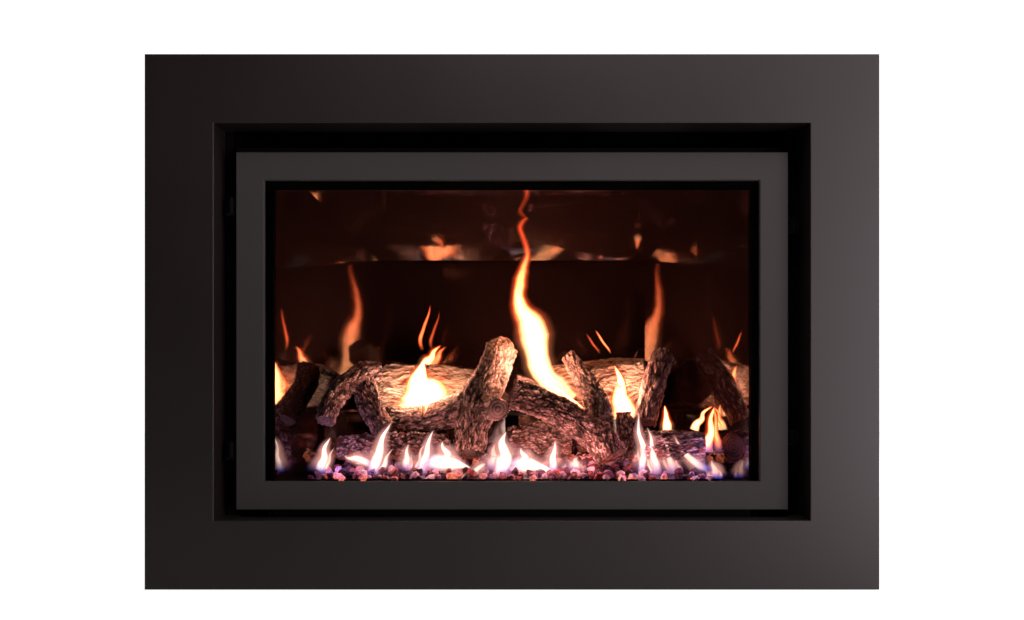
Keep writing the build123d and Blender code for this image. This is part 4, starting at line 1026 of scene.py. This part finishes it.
# ---- camera, floor and light
cameraPlace = {"distance": 2.0, "height": 0.356, "lens": 46.23, "shift": 0.0459}
cameraData = bpy.data.cameras.new("camera")
cameraData.lens = cameraPlace["lens"]
cameraData.sensor_width = 36
cameraData.shift_y = cameraPlace["shift"]
camera = bpy.data.objects.new("camera", cameraData)
bpy.context.scene.collection.objects.link(camera)
camera.location = (0, frontY - cameraPlace["distance"], cameraPlace["height"])
camera.rotation_euler = (math.radians(90), 0, 0)
bpy.context.scene.camera = camera


def studioWhite(name, glow):  # pale, and lifted to white where the lens sees it
    material, tree, shader = newMaterial(name)
    shader.inputs["Base Color"].default_value = (0.8, 0.8, 0.8, 1)
    shader.inputs["Roughness"].default_value = 0.9
    path = tree.nodes.new("ShaderNodeLightPath")
    seen = mathNode(tree, "ADD", path.outputs["Is Camera Ray"], path.outputs["Is Transmission Ray"], clamp=True)
    seen = mathNode(tree, "ADD", seen, mathNode(tree, "MULTIPLY", path.outputs["Is Glossy Ray"], 0.1), clamp=True)
    shader.inputs["Emission Color"].default_value = (1, 1, 1, 1)
    tree.links.new(mathNode(tree, "MULTIPLY", seen, glow), shader.inputs["Emission Strength"])
    return material


def stagePlane(name, near, far, material):  # near and far: the (y, z) of its two long edges
    half = stageSize["half"]
    corners = [(-half, *near), (half, *near), (half, *far), (-half, *far)]
    mesh = bpy.data.meshes.new(name)
    mesh.from_pydata(corners, [], [(0, 1, 2, 3)])
    mesh.materials.append(material)
    plane = newObject(name, mesh)


stageSize = {"half": 5.0, "front": frontY - 1.4, "back": 4.0, "tall": 4.0}
floorBack = (stageSize["back"], 0)
stagePlane("floor", (stageSize["front"], 0), floorBack, studioWhite("floorWhite", 0.9))
stagePlane("backdrop", floorBack, (stageSize["back"], stageSize["tall"]), studioWhite("backdropWhite", 1.0))


def makeWorld():  # dim to light the scene, white to the lens, and a black curtain behind the lens in reflections
    world = bpy.data.worlds.new("studio")
    world.use_nodes = True
    tree = world.node_tree
    tree.nodes.clear()
    ambient, shown, curtain = (tree.nodes.new("ShaderNodeBackground") for _ in range(3))
    ambient.inputs["Color"].default_value = (0.95, 0.97, 1.0, 1)
    ambient.inputs["Strength"].default_value = 0.06
    curtain.inputs["Strength"].default_value = 0.0
    path = tree.nodes.new("ShaderNodeLightPath")
    lens = path.outputs["Is Camera Ray"]
    whiter = mathNode(tree, "MULTIPLY", lens, 0.25)  # shown's own colour is 0.8
    tree.links.new(mathNode(tree, "ADD", whiter, 1.0), shown.inputs["Strength"])
    split = tree.nodes.new("ShaderNodeSeparateXYZ")
    tree.links.new(tree.nodes.new("ShaderNodeTexCoord").outputs["Generated"], split.inputs[0])
    ahead = mathNode(tree, "GREATER_THAN", split.outputs[1], -0.2)
    glossy = mathNode(tree, "ADD", path.outputs["Is Glossy Ray"], path.outputs["Is Transmission Ray"], clamp=True)
    seen = mathNode(tree, "ADD", lens, mathNode(tree, "MULTIPLY", glossy, ahead), clamp=True)
    dark = mathNode(tree, "MULTIPLY", glossy, mathNode(tree, "SUBTRACT", 1.0, ahead))
    below = ambient.outputs[0]
    for factor, above in ((seen, shown), (dark, curtain)):
        mix = tree.nodes.new("ShaderNodeMixShader")
        tree.links.new(factor, mix.inputs[0])
        tree.links.new(below, mix.inputs[1])
        tree.links.new(above.outputs[0], mix.inputs[2])
        below = mix.outputs[0]
    tree.links.new(below, tree.nodes.new("ShaderNodeOutputWorld").inputs[0])
    return world


bpy.context.scene.world = makeWorld()


def addLamp(name, kind, spot, power, colour):
    data = bpy.data.lights.new(name, kind)
    data.energy = power
    data.color = colour
    lamp = bpy.data.objects.new(name, data)
    bpy.context.scene.collection.objects.link(lamp)
    lamp.location = spot
    return lamp, data


def areaLight(name, spot, aim, size, power, colour=(1, 1, 1)):
    lamp, data = addLamp(name, "AREA", spot, power, colour)
    lamp.rotation_euler = (Vector(aim) - Vector(spot)).to_track_quat("-Z", "Y").to_euler()
    data.shape = "RECTANGLE"
    data.size, data.size_y = size
    data.use_nodes = True  # the cards aren't mirrored in the liners behind the door glass
    tree = data.node_tree
    path = tree.nodes.new("ShaderNodeLightPath")
    outside = mathNode(tree, "SUBTRACT", 1.0, path.outputs["Transmission Depth"], clamp=True)
    tree.links.new(outside, tree.nodes["Emission"].inputs["Strength"])


def fireLight(name, spot, power, colour=(1.0, 0.56, 0.26)):
    lamp, data = addLamp(name, "POINT", spot, power, colour)
    data.shadow_soft_size = 0.025
    lamp.visible_camera = lamp.visible_glossy = lamp.visible_transmission = False


areaLight("cardRight", (2.7, frontY - 3.2, 0.42), (0.45, frontY, 0.25), (1.9, 2.6), 130, (1.0, 0.86, 0.91))
areaLight("overhead", (0.35, frontY - 0.6, 1.36), (0.2, frontY - 0.1, 0.1), (1.3, 0.3), 6.6, (1.0, 0.93, 0.90))
areaLight("cardLow", (1.0, frontY - 0.75, 0.1), (0.45, frontY, 0.03), (0.5, 0.16), 1.1, (1.0, 0.86, 0.92))
areaLight("rimRear", (1.5, 2.4, 2.2), (0, 0, 0.4), (1.6, 1.6), 30)

fireLight("fireMain", place(58, 212, 338), 5.0, (1.0, 0.52, 0.34))
fireLight("fireMainLeft", place(20, 212, 350), 5.0, (1.0, 0.52, 0.36))
fireLight("fireMainHigh", place(24, 226, 420), 0.8)
fireLight("fireLeft", place(-156, 222, 304), 5.2, (1.0, 0.76, 0.58))
fireLight("fireLeftEnd", place(-190, 232, 300), 0.5, (1.0, 0.70, 0.52))
fireLight("fireLeftInner", place(-112, 222, 306), 1.2, (1.0, 0.62, 0.42))
fireLight("fireRight", place(190, 210, 300), 2.8, (1.0, 0.53, 0.36))
violet, rose, warm = (0.66, 0.42, 0.96), (0.98, 0.44, 0.58), (1.0, 0.46, 0.42)
lowFires = ((-290, 0.26, violet), (-210, 0.22, rose), (-110, 0.44, warm), (-10, 0.56, warm), (60, 0.60, warm),
            (130, 0.36, warm), (220, 0.40, rose), (310, 0.28, violet))
for index, (x, power, colour) in enumerate(lowFires):
    fireLight("fireLow%d" % index, place(x, 116, 206), power, colour)

bpy.context.scene.view_settings.view_transform = "Standard"
print("lights and camera placed")
